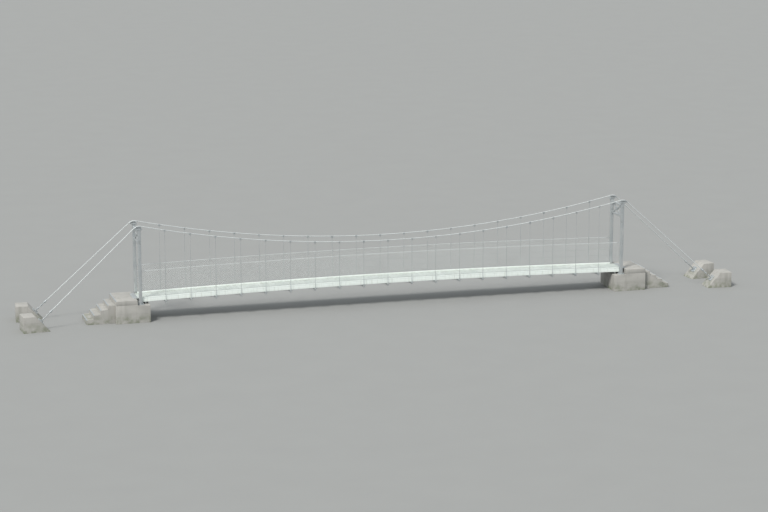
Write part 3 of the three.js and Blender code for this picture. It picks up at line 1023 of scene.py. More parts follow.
# %% [markdown]
# The clamp leans with the rope's slope, but the pin through its foot lies level, because the rod
# below hangs plumb from it. Two bolts squeeze the strap and the pin carries the rod's flat eye. The
# strap could be copied with its bolts as one group, but the slope is different at every hanger, so
# it is built again each time.

# %% A clamp round the main rope
strap_half_long = 0.034
strap_bolt_spread, strap_bolt_drop = 0.022, 0.033
strap_bolt, pin_bolt = 0.01, 0.012
flat_eye = [(0, -0.0065), (0.013, -0.0065), (0.0145, 0), (0.013, 0.0065), (0, 0.0065)]


def add_clamp(heap, x, y):
    top = rope_level(x)
    place = Matrix.Translation((x, y, top)) @ Matrix.Rotation(-rope_angle(x), 4, "Y")
    strap_ends = [(X * (hand * strap_half_long), Y, Z) for hand in (-1, 1)]
    heap.add(carry(strap_outline(), strap_ends), place)
    tilt = place.to_3x3()
    for hand in (-1, 1):
        for offset in (-strap_bolt_spread, strap_bolt_spread):
            face = place @ Vector((offset, hand * flange_outside, -strap_bolt_drop))
            add_nut(heap, face, tilt @ (Y * hand), strap_bolt, tail=0.25 if hand > 0 else 0)
        pin_end = Vector((x, y + hand * flange_outside, top - pin_drop))
        add_nut(heap, pin_end, Y * hand, pin_bolt, tail=0.2)
    heap.add(turn(flat_eye, 14), aim(Vector((x, y, top - pin_drop)), Y))


trial = Heap()
add_clamp(trial, 0, 0)
print("a clamp has", len(trial.points), "points")

# %% [markdown]
# A hanger is a plain round rod. Its foot goes down through the cross beam, with a square washer and
# a nut above and below, so that the deck's level can be set. A small clip ties each of the
# netting's line wires to the rod. It could be bent from wire, but a short turned collar reads the
# same from an arm's length.

# %% One hanger
wire_rises = (0.075, 0.59)
hanger_radius, hanger_thread = 0.0078, 0.0165
hanger_tail, eye_grip = 0.03, 0.01
upper_washer, upper_thick = 0.056, 0.008
lower_washer, lower_thick = 0.05, 0.006
wire_clip = [(0, -0.011), (0.011, -0.011), (0.012, 0), (0.011, 0.011), (0, 0.011)]


def add_hanger(heap, x, y):
    foot = deck_top(x) + beam_level
    under = foot - beam_depth
    eye = rope_level(x) - pin_drop - eye_grip
    heap.add(rod(Vector((x, y, under - hanger_tail)), Vector((x, y, eye)), hanger_radius, around=12))
    heap.add(plate(upper_washer, upper_washer, upper_thick), on_deck(x, y, beam_level + hair))
    add_nut(heap, Vector((x, y, foot + upper_thick + hair)), Z, hanger_thread, tail=0)
    below = beam_level - beam_depth - lower_thick - hair
    heap.add(plate(lower_washer, lower_washer, lower_thick), on_deck(x, y, below))
    add_nut(heap, Vector((x, y, under - lower_thick - hair)), -Z, hanger_thread, tail=0.5)
    add_clamp(heap, x, y)
    for rise in wire_rises:
        heap.add(turn(wire_clip, 10), aim(Vector((x, y, deck_top(x) + rise)), Z))


trial = Heap()
add_hanger(trial, 0, 0)
print("a hanger with its clamp has", len(trial.points), "points")

# %% [markdown]
# The frame cuts each side into five panels, and each panel takes its own hangers and its stretch of
# both line wires. One mesh for a whole side would be fewer pieces. Five keep the names of the
# solids that they stand for, so a panel can still be found, hidden or mended alone. They also keep
# the solids' gap of a third of a millimetre to the tower legs.

# %% Hangers and line wires
wire_radius = 0.004
wire_fitting = 0.0065
fit_gap = 0.0003
panel_long = 4 * bay
panel_hangers = {1: range(-9, -5), 2: range(-5, -1), 3: range(-1, 2), 4: range(2, 6), 5: range(6, 10)}


def panel_limits(panel):
    west = -half_span + panel_long * (panel - 1)
    reach = leg_half + fit_gap
    return max(west, -half_span + reach), min(west + panel_long, half_span - reach)


def side_steel(side_name, side, panel):
    steel = Heap()
    start, stop = panel_limits(panel)
    for x in panel_hangers[panel]:
        add_hanger(steel, x * bay, side * rope_y)
    for rise in wire_rises:
        marks = np.linspace(start, stop, 13)
        track = [(Vector((x, side * rope_y, deck_top(x) + rise)), Y, Z) for x in marks]
        steel.add(carry(circle(wire_radius, 8), track))
        for end in ends.values():
            if max(end * start, end * stop) > half_span - bay / 2:
                add_end_fitting(steel, side * rope_y, deck_end + rise, end, wire_fitting)
    node = f"side_panel_{side_name}_{panel}"
    steel.piece(f"hangers_{side_name}_{panel}", zinc, "galvanised_steel", [node])


for side_name, side in sides.items():
    for panel in panel_hangers:
        side_steel(side_name, side, panel)


# %% [markdown]
# Thin drawn wire is brighter than dipped steel and shows no spangle, so the netting doesn't borrow
# the rods' zinc and has its own finish. A slow noise gives its duller stretches, and a fine one the
# dust on it.

# %% Drawn netting wire
def net_finish():
    recipe = Recipe("bright_drawn_wire", 0.42, 0.3)
    patch, fine = recipe.noise(3, 5), recipe.noise(200, 2)
    tone = recipe.mix(patch, (0.7, 0.74, 0.74, 1), (0.86, 0.89, 0.88, 1))
    tone = recipe.mix(recipe.math("MULTIPLY", fine, 0.3), tone, (0.5, 0.52, 0.49, 1))
    return recipe.done(tone, recipe.fade(patch, 0.3, 0.7, 0.34, 0.55), recipe.bump(fine, 0.1, 0.0003))


net_zinc = net_finish()

# %% [markdown]
# The netting between the hangers is the paler veil over the deck in the picture. It is chain link:
# each wire zigzags up the side and hooks into its neighbours at every corner. A flat card with
# holes in its shader would be lighter, but real wires keep their depth at every angle. So each one
# is a thin tube with three sides, and a single array holds the corners of all of a panel's wires.

# %% Where the netting's wires run
net_low, net_high = 0.078, 1.0935
net_rows = 28
net_wire, net_slant = 0.0018, 1.4
net_offset = 0.0062
net_y = hand_y + net_offset
hook_depth = 0.0014


def net_pitch(start, stop):
    wires = round((stop - start) / bay * net_rows)
    return wires, (stop - start) / wires


def net_points(start, stop, side):
    wires, pitch = net_pitch(start, stop)
    wire = np.arange(wires)[:, None, None]
    corner = np.arange(net_rows + 1)[None, :, None]
    lean = np.where((wire + corner) % 2 == 0, 1.0, -1.0)
    around = np.array([math.pi / 2, math.pi * 7 / 6, math.pi * 11 / 6])[None, None, :]
    middle = start + (wire + 0.5) * pitch + lean * (pitch / 2 - net_wire / 2)
    x = middle + net_slant * net_wire * np.cos(around)
    y = side * net_y + hook_depth * np.where(corner % 2 == 0, 1, -1) + net_wire * np.sin(around)
    rise = np.vectorize(deck_top)(x)
    z = rise + net_low + (net_high - net_low) * corner / net_rows + 0 * around
    return np.stack(np.broadcast_arrays(x, y, z), axis=-1)


print("wires in a full panel of netting:", net_pitch(0, panel_long)[0])


# %% [markdown]
# The points become tubes by joining each corner's three to the next corner's three, and a small
# triangle closes both ends of every wire. The Wireframe modifier could make such tubes from edges,
# but it joins the wires where they cross, and real ones only touch.

# %% Netting
def netting(side_name, side, panel):
    points = net_points(*panel_limits(panel), side)
    wires, corners = points.shape[:2]
    faces = []
    for wire in range(wires):
        for corner in range(corners - 1):
            low = (wire * corners + corner) * 3
            for i, after in ((0, 1), (1, 2), (2, 0)):
                faces.append((low + i, low + after, low + 3 + after, low + 3 + i))
        first, last = wire * corners * 3, (wire * corners + corners - 1) * 3
        faces += [(first, first + 2, first + 1), (last, last + 1, last + 2)]
    mesh = bpy.data.meshes.new("netting")
    mesh.from_pydata(points.reshape(-1, 3).tolist(), [], faces)
    dress(f"netting_{side_name}_{panel}", mesh, net_zinc, sharp_over=180)


for side_name, side in sides.items():
    for panel in panel_hangers:
        netting(side_name, side, panel)

# %% [markdown]
# The netting is tied to the hand rope and to both line wires at every third tip of its diamonds.
# Without ties it would seem to float beside them. A tie is a small ring of soft wire round both,
# and a torus from the menu would have far too many faces, so turn() makes a ring of ten short
# lengths.

# %% Wire ties
tie_wire = 0.0013
tie_step = 6
hand_tie, wire_tie, tie_offset = 0.0116, 0.011, 0.006


def add_tie(heap, origin, radius):
    ring = [(radius + a, b) for a, b in circle(tie_wire, 5)]
    heap.add(turn(ring, 10, closed=True), aim(origin, X))


def tie_netting(side_name, side):
    ties = Heap()
    wire_tie_y = (rope_y + hand_y + tie_offset) / 2
    for panel in panel_hangers:
        start, stop = panel_limits(panel)
        wires, pitch = net_pitch(start, stop)
        for tip in range(1, wires, tie_step):
            x = start + tip * pitch
            add_tie(ties, Vector((x, side * hand_y, deck_top(x) + hand_rise)), hand_tie)
            for rise in wire_rises:
                add_tie(ties, Vector((x, side * wire_tie_y, deck_top(x) + rise)), wire_tie)
    ties.piece(f"wire_ties_{side_name}", net_zinc, "galvanised_steel")


for side_name, side in sides.items():
    tie_netting(side_name, side)

# %% [markdown]
# Two pieces of steel that meet in a perfectly sharp line look like toy blocks, because a real joint
# has a weld in it. A bead with its ripples would be lost at this size. A narrow sloping collar
# round the section catches the same light.

# %% Weld collars
weld_corner, weld_bite = 0.012, 0.002


def add_weld(heap, place, width, height, size=0.007):
    wide = section(width + 2 * size, height + 2 * size, weld_corner + size)
    close = section(width - weld_bite, height - weld_bite, weld_corner)
    points = [(a, b, 0) for a, b in wide] + [(a, b, size) for a, b in close]
    count = len(wide)
    faces = [(i, (i + 1) % count, count + (i + 1) % count, count + i) for i in range(count)]
    heap.add((points, faces + [tuple(range(count)), tuple(range(count, 2 * count))]), place)


trial = Heap()
add_weld(trial, Matrix(), 0.12, 0.12)
print("a weld collar has", len(trial.faces), "faces")

# %% [markdown]
# A tower leg is one hollow square post. Its base plate is held by four long anchor bolts, and four
# gussets stiffen it. The plate at its top carries the saddle. Post, plates and gussets could be
# separate objects with parents. But none of them ever moves alone, so they are one piece, as they
# come from the workshop.

# %% Tower legs
leg_width = 2 * leg_half
base_size, base_thick = 0.26, 0.02
cap_long, cap_wide, cap_deep = 0.23, 0.15, 0.02
foot_bolt, foot_bolt_spread = 0.02, 0.097
gusset_half_thick = 0.005
gusset = [(0, 0), (0.064, 0), (0.064, 0.012), (0.014, 0.12), (0, 0.12)]


def make_leg(end_name, end, side_name, side):
    steel = Heap()
    foot = Vector((end * half_span, side * rope_y, seat_level))
    floor = foot + Z * base_thick
    head = Vector((foot.x, foot.y, leg_top - cap_deep))
    steel.add(plate(base_size, base_size, base_thick, bevel=0.003), Matrix.Translation(foot))
    steel.add(plate(cap_long, cap_wide, cap_deep, bevel=0.003), Matrix.Translation(head))
    steel.add(bar(section(leg_width, leg_width, radius=0.012, steps=4), floor, head, up=X))
    add_weld(steel, Matrix.Translation(floor), leg_width, leg_width)
    add_weld(steel, Matrix.Translation(head) @ Matrix.Rotation(math.pi, 4, "X"), leg_width, leg_width)
    for quarter in range(4):
        turned = Matrix.Rotation(quarter * math.pi / 2, 3, "Z")
        out, beside = turned @ X, turned @ Y
        face = floor + out * leg_half
        half = beside * gusset_half_thick
        steel.add(carry(gusset, [(face - half, out, Z), (face + half, out, Z)]))
        add_nut(steel, floor + (out + beside) * foot_bolt_spread, Z, foot_bolt, tail=0.8)
    name = f"{end_name}_{side_name}"
    steel.piece(f"tower_post_{name}", zinc, "galvanised_steel", [f"tower_leg_{name}"])


for end_name, end in ends.items():
    for side_name, side in sides.items():
        make_leg(end_name, end, side_name, side)

# %% [markdown]
# The frame over the walk keeps the two posts from leaning in. Where its members meet, gusset plates
# with bolts sit on both faces, and one more pair ties the crossing. The members could simply run
# into each other, but the plates show how the load gets from one to the next.

# %% Gusset plates of the portal frame
chord, brace, gusset_thick = 0.08, 0.045, 0.006
corner_plate = [(0.03, 0.03), (0.19, 0.03), (0.19, 0.075), (0.1, 0.14), (0.03, 0.14)]
diamond_plate = [(0.1, 0), (0, 0.075), (-0.1, 0), (0, -0.075)]
frame_bolt, frame_bolt_lift = 0.014, 0.004
crossing_bolts, corner_bolts = (-0.06, 0.06), (0.105, 0.15)


def add_head_plates(steel, x, face, reach, middle, half_height):
    near, far = Vector((x, 0, middle)), Vector((x + face * gusset_thick, 0, middle))
    steel.add(carry(diamond_plate, [(near, Y, Z), (far, Y, Z)]))
    for y in crossing_bolts:
        add_nut(steel, far + Y * y, X * face, frame_bolt, tail=0.3)
    slope = (half_height - chord / 2) / (reach - chord / 2)
    for side in (-1, 1):
        for way in (-1, 1):
            corner = Vector((0, side * reach, way * half_height))
            across, up = Y * -side, Z * -way
            steel.add(carry(corner_plate, [(near + corner, across, up), (far + corner, across, up)]))
            for inset in corner_bolts:
                level = chord / 2 + slope * (inset - chord / 2) + frame_bolt_lift
                spot = far + corner + (across * inset + up * level)
                add_nut(steel, spot, X * face, frame_bolt, tail=0.3)


trial = Heap()
add_head_plates(trial, 0, 1, 0.5, 0, 0.3)
print("one face of a portal frame takes", len(trial.points), "points of plates and bolts")


# %% [markdown]
# Two chords lie between the posts and two braces cross between the chords. An X cut from one plate
# would be quicker, but the light on four separate bars is what makes it a frame. Each chord has a
# weld at both ends.

# %% The frames over the walk
def make_head(end_name, end):
    steel = Heap()
    low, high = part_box(f"tower_head_{end_name}")
    reach, x = high.y, end * half_span
    middle = (low.z + high.z) / 2
    for level in (low.z + chord / 2, high.z - chord / 2):
        south, north = Vector((x, -reach, level)), Vector((x, reach, level))
        steel.add(bar(section(chord, chord, radius=0.009, steps=4), south, north))
        for side in sides.values():
            add_weld(steel, aim(Vector((x, side * reach, level)), Y * -side), chord, chord, size=0.006)
    run, rise = reach - chord / 2, middle - low.z - chord / 2
    for lean in (-1, 1):
        start, stop = Vector((x, -run, middle - lean * rise)), Vector((x, run, middle + lean * rise))
        steel.add(bar(section(brace, brace, radius=0.006, steps=4), start, stop, up=X))
    for face in (-1, 1):
        add_head_plates(steel, x + face * brace / 2, face, reach, middle, high.z - middle)
    steel.piece(f"portal_frame_{end_name}", zinc, "galvanised_steel", [f"tower_head_{end_name}"])


for end_name, end in ends.items():
    make_head(end_name, end)

# %% [markdown]
# A saddle turns the rope over the tower's top without a kink, and the rope lies in a trough whose
# groove fits it. The groove could be cut from a block with a boolean. Carrying one U outline along
# the rope's own bend is quicker and leaves cleaner faces.

# %% The trough of a saddle
saddle_lip = math.radians(4)
trough_half = 0.045
groove_radius = 0.0185


def trough_outline():
    turns = np.linspace(0, -math.pi, 9)
    groove = [(groove_radius * math.cos(a), groove_radius * math.sin(a)) for a in turns]
    right = [(0.02, 0.006), (0.024, 0.01), (0.04, 0.01), (trough_half, 0.005)]
    below = [(trough_half, -0.024), (0.034, -0.034)]
    mirrored = [(-a, b) for a, b in below[::-1] + right[::-1]]
    return groove[::-1] + right + below + mirrored


def over_tower(end, y, angle, radius=saddle_radius):
    reach = Vector((end * math.sin(angle), 0, math.cos(angle)))
    return Vector((end * half_span, y, saddle_centre)) + reach * radius, Y, reach


print("the trough's outline has", len(trough_outline()), "points")

# %% [markdown]
# Two keepers are bolted over the rope on the backstay's side, so that it cannot jump out of the
# groove when a gust lifts it. A plain strip across would do from far off. The real one is arched
# over the rope, with a flat foot on each side, and that is just an outline of two arcs for carry().

# %% Keepers over the rope
keeper_half_long = 0.014
keeper_outside, keeper_inside = 0.0245, 0.0182
outside_start, inside_start = 0.42, 0.56
keeper_sole, keeper_top, keeper_half_wide = 0.01, 0.0155, 0.044
keeper_foot = [(keeper_half_wide, keeper_sole), (keeper_half_wide, keeper_top)]
keeper_bolt, keeper_bolt_out = 0.009, 0.034


def arch(radius, start, stop):
    return [(radius * math.cos(a), radius * math.sin(a)) for a in np.linspace(start, stop, 9)]


def add_keeper(heap, end, y, angle):
    origin, across, up = over_tower(end, y, angle)
    along = across.cross(up) * keeper_half_long
    outer = arch(keeper_outside, outside_start, math.pi - outside_start)
    inner = arch(keeper_inside, math.pi - inside_start, inside_start)
    outline = keeper_foot + outer + [(-a, b) for a, b in reversed(keeper_foot)] + inner
    heap.add(carry(outline, [(origin - along, across, up), (origin + along, across, up)]))
    for hand in (-1, 1):
        top = origin + across * (hand * keeper_bolt_out) + up * keeper_top
        add_nut(heap, top, up, keeper_bolt, tail=0.2)


trial = Heap()
add_keeper(trial, 1, 0, 0.4)
print("a keeper has", len(trial.points), "points")


# %% [markdown]
# Under the trough the casting has a web along the rope and four ribs across it, which stand on a
# bolted base plate. A solid block below the trough would be simpler, and much too heavy to look at.
# The web and the ribs follow the trough's arc from just inside it, so that no slit is left between
# them.

# %% Web and ribs of a saddle
web_half_thick, web_inset, web_foot = 0.012, 0.03, 0.01
web_front, web_back = 0.105, -0.1
rib_half_thick, rib_inset, rib_foot = 0.005, 0.028, 0.014
rib_foot_half, rib_top_half = 0.036, 0.04


def saddle_web(y, end, base, angles):
    arc = [over_tower(1, 0, angle, saddle_radius - web_inset)[0] for angle in angles]
    web = [(point.x - half_span, point.z) for point in arc]
    web += [(web_front, base.z + web_foot), (web_back, base.z + web_foot)]
    middle = Vector((end * half_span, y, 0))
    faces = (middle - Y * web_half_thick, middle + Y * web_half_thick)
    return carry(web, [(face, X * end, Z) for face in faces])


def saddle_rib(y, end, base, angle):
    top = over_tower(end, y, angle, saddle_radius - rib_inset)[0]
    foot = base.z + rib_foot
    rib = [(-rib_foot_half, foot), (rib_foot_half, foot), (rib_top_half, top.z), (-rib_top_half, top.z)]
    faces = (top.x - rib_half_thick, top.x + rib_half_thick)
    return carry(rib, [(Vector((x, y, 0)), Y, Z) for x in faces])


print("a rib has", len(saddle_rib(0, 1, Z * leg_top, 0.0)[1]), "faces")

# %% [markdown]
# A saddle is cast in one, and four bolts join its base plate to the plate on top of the post. Here
# it is put together from the trough, the web, the ribs and the keepers, because shapes that run
# into each other look like one casting when they share a finish. Joining them with booleans would
# only cost time.

# %% Saddles
saddle_base_long, saddle_base_wide, saddle_base_thick = 0.225, 0.145, 0.016
rib_angles = (-0.2, 0.0, 0.2, 0.4)
keeper_angles = (0.36, 0.6)
saddle_bolt, saddle_bolt_x, saddle_bolt_y = 0.014, 0.09, 0.056


def make_saddle(end_name, end, side_name, side):
    cast = Heap()
    y = side * rope_y
    angles = np.linspace(-arrival - saddle_lip, backstay_angle, 17)
    cast.add(carry(trough_outline(), [over_tower(end, y, angle) for angle in angles]))
    base = Vector((end * half_span, y, leg_top + hair))
    foot = plate(saddle_base_long, saddle_base_wide, saddle_base_thick, bevel=0.003)
    cast.add(foot, Matrix.Translation(base))
    cast.add(saddle_web(y, end, base, angles))
    for angle in rib_angles:
        cast.add(saddle_rib(y, end, base, angle))
    for angle in keeper_angles:
        add_keeper(cast, end, y, angle)
    for dx in (-saddle_bolt_x, saddle_bolt_x):
        for dy in (-saddle_bolt_y, saddle_bolt_y):
            add_nut(cast, base + Vector((dx, dy, saddle_base_thick)), Z, saddle_bolt, tail=0.3)
            add_nut(cast, base + Vector((dx, dy, -cap_deep - hair)), -Z, saddle_bolt, tail=0.5)
    name = f"{end_name}_{side_name}"
    cast.piece(f"cast_saddle_{name}", zinc, "galvanised_steel", [f"saddle_{name}"])


for end_name, end in ends.items():
    for side_name, side in sides.items():
        make_saddle(end_name, end, side_name, side)

# %% [markdown]
# Each backstay is tightened at its anchor by a turnbuckle, an open frame with a nut at each end, on
# two threaded rods. The thread could be a bump, but it is coarse enough to be seen against the
# light. A true spiral isn't needed for that, so turn() cuts it as a row of rings.

# %% Threaded rods and the turnbuckle
thread_pitch = 0.004
thread_core, crest_start, crest_stop = 0.9, 0.4, 0.6
boss_long = 0.04
boss = [(0, 0), (0.024, 0), (0.03, 0.004), (0.031, 0.034), (0.026, boss_long), (0, boss_long)]
cheek_out, cheek_inset, lock_nut = 0.026, 0.01, 0.032


def thread(start, stop, radius):
    profile = [(0, start)]
    for number in range(int((stop - start) / thread_pitch)):
        level = start + number * thread_pitch
        profile += [(radius * thread_core, level), (radius, level + thread_pitch * crest_start)]
        profile += [(radius, level + thread_pitch * crest_stop)]
    return turn(profile + [(radius * thread_core, stop), (0, stop)], 14)


def add_turnbuckle(heap, place, start, stop):
    for level in (start, stop - boss_long):
        heap.add(turn(boss, 18), place @ Matrix.Translation((0, 0, level)))
    for hand in (-1, 1):
        low = Vector((0, hand * cheek_out, start + cheek_inset))
        high = Vector((0, hand * cheek_out, stop - cheek_inset))
        heap.add(bar(section(0.02, 0.013, radius=0.004), low, high, up=X), place)
    tilt = place.to_3x3()
    for level, way in ((start, -1), (stop, 1)):
        add_nut(heap, place @ Vector((0, 0, level)), tilt @ (Z * way), lock_nut, tail=0)


print("a thread of ten centimetres has", len(thread(0, 0.1, 0.016)[1]), "faces")

# %% [markdown]
# On the block's slanted face lies a plate with four bolts, and from it stand two lugs that hold a
# pin through the rod's eye. Such plates are cut with a torch along a line and half a circle. Drawn
# as outlines of the same line and half circle they need no boolean, and carry() gives them their
# thickness.

# %% Lugs, eye and pin
anchor_plate, anchor_thick = 0.26, 0.025
pin_level, pin_radius = 0.078, 0.013
pin_half_long, pin_nut = 0.042, 0.022
lug_radius, lug_offset, lug_half_thick = 0.03, 0.023, 0.006
lug_foot = 1.5 * lug_radius
eye_radius, eye_half_thick, eye_neck = 0.027, 0.015, 0.05
rod_radius = 0.016


def half_circle(radius, level, start, stop):
    return [(radius * math.cos(a), level + radius * math.sin(a)) for a in np.linspace(start, stop, 11)]


def add_pinned_eye(steel, place):
    top = half_circle(lug_radius, pin_level - anchor_thick, 0, math.pi)
    lug = [(lug_foot, 0)] + top + [(-lug_foot, 0)]
    for hand in (-1, 1):
        faces = (hand * lug_offset - lug_half_thick, hand * lug_offset + lug_half_thick)
        steel.add(carry(lug, [(Vector((0, y, anchor_thick)), X, Z) for y in faces]), place)
        nut_seat = Vector((0, hand * (lug_offset + lug_half_thick), pin_level))
        add_nut(steel, place @ nut_seat, place.to_3x3() @ (Y * hand), pin_nut, tail=0.2)
    eye = [(rod_radius, eye_neck), (rod_radius, 0)] + half_circle(eye_radius, 0, 0, -math.pi)
    eye += [(-rod_radius, 0), (-rod_radius, eye_neck)]
    faces = (-eye_half_thick, eye_half_thick)
    steel.add(carry(eye, [(Vector((0, y, pin_level)), X, Z) for y in faces]), place)
    pin_ends = [Vector((0, hand * pin_half_long, pin_level)) for hand in (-1, 1)]
    steel.add(rod(*pin_ends, pin_radius, around=16), place)


trial = Heap()
add_pinned_eye(trial, Matrix())
print("lugs, eye and pin have", len(trial.points), "points")

# %% [markdown]
# The rope ends in a poured socket, a cone with a collar, at the top of the upper rod. Everything
# from the plate to the socket lies on one axis, so it is all built along Z, and one matrix leans it
# against the pull. Placing each part in space by itself would take a dozen sums, each a chance for
# a slip.

# %% Anchor rods
anchor_bolt, plate_bolt_spread = 0.024, 0.095
turnbuckle_foot, turnbuckle_head = 0.16, 0.36
thread_grip = 0.06
thread_low, thread_high = pin_level + 0.04, 0.5
plate_gap = 0.0004
socket = [(0, 0.49), (0.03, 0.49), (0.034, 0.494), (0.034, 0.51), (0.043, 0.52)]
socket += [(0.0435, 0.545), (0.04, 0.55), (0.024, 0.63), (0.026, 0.634)]
socket += [(0.026, 0.644), (0.023, 0.648), (0, 0.648)]


def anchorage_place(end, side):
    turned = side * splay if end > 0 else math.pi - side * splay
    spot = Matrix.Translation((end * anchor_x, side * (rope_y + splay_width), 0))
    return spot @ Matrix.Rotation(turned, 4, "Z")


def make_anchor_rod(end_name, end, side_name, side):
    steel = Heap()
    face = Matrix.Translation((rod_length * math.cos(backstay_angle), 0, face_height))
    place = anchorage_place(end, side) @ face @ Matrix.Rotation(backstay_angle - math.pi / 2, 4, "Y")
    tilt = place.to_3x3()
    on_face = place @ Matrix.Translation((0, 0, plate_gap))
    steel.add(plate(anchor_plate, anchor_plate, anchor_thick, bevel=0.003), on_face)
    for a in (-plate_bolt_spread, plate_bolt_spread):
        for b in (-plate_bolt_spread, plate_bolt_spread):
            add_nut(steel, place @ Vector((a, b, anchor_thick)), tilt @ Z, anchor_bolt, tail=0.7)
    add_pinned_eye(steel, place)
    steel.add(thread(thread_low, turnbuckle_foot + thread_grip, rod_radius), place)
    steel.add(thread(turnbuckle_head - thread_grip, thread_high, rod_radius), place)
    add_turnbuckle(steel, place, turnbuckle_foot, turnbuckle_head)
    steel.add(turn(socket, 24), place)
    name = f"{end_name}_{side_name}"
    steel.piece(f"anchor_tackle_{name}", zinc, "galvanised_steel", [f"anchor_rod_{name}"])


for end_name, end in ends.items():
    for side_name, side in sides.items():
        make_anchor_rod(end_name, end, side_name, side)

# %% [markdown]
# Where one day's pour of concrete ended, a strip in the form leaves a groove round the block. It
# could be a dark line in the material, but then it would throw no shadow and break no edge. Three
# cuts through the mesh at that height make it, and the middle cut's points are pushed inwards.

# %% The groove where a pour ended
groove_depth = 0.005
groove_half_width = 0.006


def cut_groove(form, level):
    for height in (level - groove_half_width, level, level + groove_half_width):
        everything = form.verts[:] + form.edges[:] + form.faces[:]
        point = (0, 0, height)
        bmesh.ops.bisect_plane(form, geom=everything, dist=1e-5, plane_co=point, plane_no=Z)
    form.normal_update()
    for vert in form.verts:
        if abs(vert.co.z - level) < 1e-4:
            vert.co -= Vector((vert.normal.x, vert.normal.y, 0)).normalized() * groove_depth


print("a pour groove is", round(2000 * groove_half_width), "mm wide")

# %% [markdown]
# Concrete edges are never sharp: a strip in the form leaves a small chamfer, and time rounds it.
# Each block is a side outline given a width. A bevel modifier would then round all of its edges.
# The bevel tool takes only the edges it is handed, so those that stand on the ground stay sharp,
# because a chamfer there would leave a dark slit along the floor. These tools list the faces in
# another order on each run, so the faces are sorted at the end, and the mesh is the same every
# time.

# %% Cast concrete
chamfer = 0.014
above_ground = 0.001


def sorted_faces(form):
    form.verts.index_update()
    faces = []
    for face in form.faces:
        corners = [vert.index for vert in face.verts]
        first = corners.index(min(corners))
        faces.append(corners[first:] + corners[:first])
    return sorted(faces)


def cast_block(name, outline, half_width, node, place=None, grooves=()):
    form = bmesh.new()
    near = [form.verts.new((x, -half_width, z)) for x, z in outline]
    far = [form.verts.new((x, half_width, z)) for x, z in outline]
    form.faces.new(near)
    form.faces.new(far[::-1])
    for i in range(len(outline)):
        after = (i + 1) % len(outline)
        form.faces.new((near[i], far[i], far[after], near[after]))
    edges = [edge for edge in form.edges if max(v.co.z for v in edge.verts) > above_ground]
    bmesh.ops.bevel(form, geom=edges, offset=chamfer, segments=2, profile=0.6, affect="EDGES")
    bmesh.ops.recalc_face_normals(form, faces=form.faces)
    for level in grooves:
        cut_groove(form, level)
    if place is not None:
        bmesh.ops.transform(form, matrix=place, verts=form.verts)
    mesh = bpy.data.meshes.new(name)
    mesh.from_pydata([vert.co for vert in form.verts], [], sorted_faces(form))
    form.free()
    dress(name, mesh, concrete, [node], sharp_over=28)


print("the concrete's chamfer is", round(1000 * chamfer), "mm")

# %% [markdown]
# The abutment is a low wall with a seat for the posts and the deck's bearings, and a landing behind
# it. The steps lead up to the landing. An anchor block leans against the pull, with a slanted face
# square to the backstay. Their outlines could be read off the solids, but they follow from the
# levels already known.

# %% Outlines of the concrete
landing_end, seat_inner, seat_outer = half_span + 1.0, half_span - 0.35, half_span + 0.15
step_rise, step_going, steps = 0.18, 0.28, 4
steps_start = landing_end + fit_gap
block_top, block_long = 0.62, 0.48


def abutment_outline(end):
    seat = seat_level - fit_gap
    outline = [(seat_inner, 0), (landing_end, 0), (landing_end, deck_end), (seat_outer, deck_end)]
    outline += [(seat_outer, seat), (seat_inner, seat)]
    return [(end * x, z) for x, z in outline]


def steps_outline(end):
    outline = [(steps_start, 0), (steps_start + steps * step_going, 0)]
    for number in range(1, steps + 1):
        edge = steps_start + (steps - number + 1) * step_going
        outline += [(edge, number * step_rise), (edge - step_going, number * step_rise)]
    return [(end * x, z) for x, z in outline]


def block_outline():
    lean = math.tan(backstay_angle)
    face = rod_length * math.cos(backstay_angle)
    front, brow = face - face_height * lean, face + (block_top - face_height) * lean
    return [(front, 0), (brow + block_long, 0), (brow + block_long, block_top), (brow, block_top)]


print("the landing is", round((steps + 1) * step_rise, 3), "metres up, the deck", round(deck_end, 3))

# %% [markdown]
# The abutments took three days' pours and the anchor blocks two. So the abutments have grooves at
# two steps' height and at four, and the anchor blocks only the lower one. The steps were cast in
# one go. Each block could be finished as one of a kind, but both ends of the bridge are alike, and
# so two loops over the ends and the sides cast all eight.

# %% Abutments, steps and anchor blocks
abutment_half, steps_half, block_half = 0.8, 0.6, 0.38
pour = 2 * step_rise


def cast_end(end_name, end):
    abutment, flight = f"abutment_{end_name}", f"steps_{end_name}"
    pours = (pour, 2 * pour)
    cast_block(f"concrete_{abutment}", abutment_outline(end), abutment_half, abutment, grooves=pours)
    cast_block(f"concrete_{flight}", steps_outline(end), steps_half, flight)
    for side_name, side in sides.items():
        node = f"anchor_block_{end_name}_{side_name}"
        place = anchorage_place(end, side)
        cast_block(f"concrete_{node}", block_outline(), block_half, node, place, grooves=(pour,))


for end_name, end in ends.items():
    cast_end(end_name, end)


# %% [markdown]
# A steel cover plate bridges the joint between planks and landing. It has a pattern of small raised
# bars for grip, like every tread plate. A bump would do for the pattern in the sun, but not in this
# soft light, so each bar is a small plate of its own, turned one way or the other.

# %% Cover plates
cover_long, cover_thick = 0.2, 0.005
cover_offset = 0.165
bead_pitch, bead_rows, bead_columns = 0.03, 6, 31
bead_long, bead_wide, bead_thick = 0.024, 0.006, 0.002


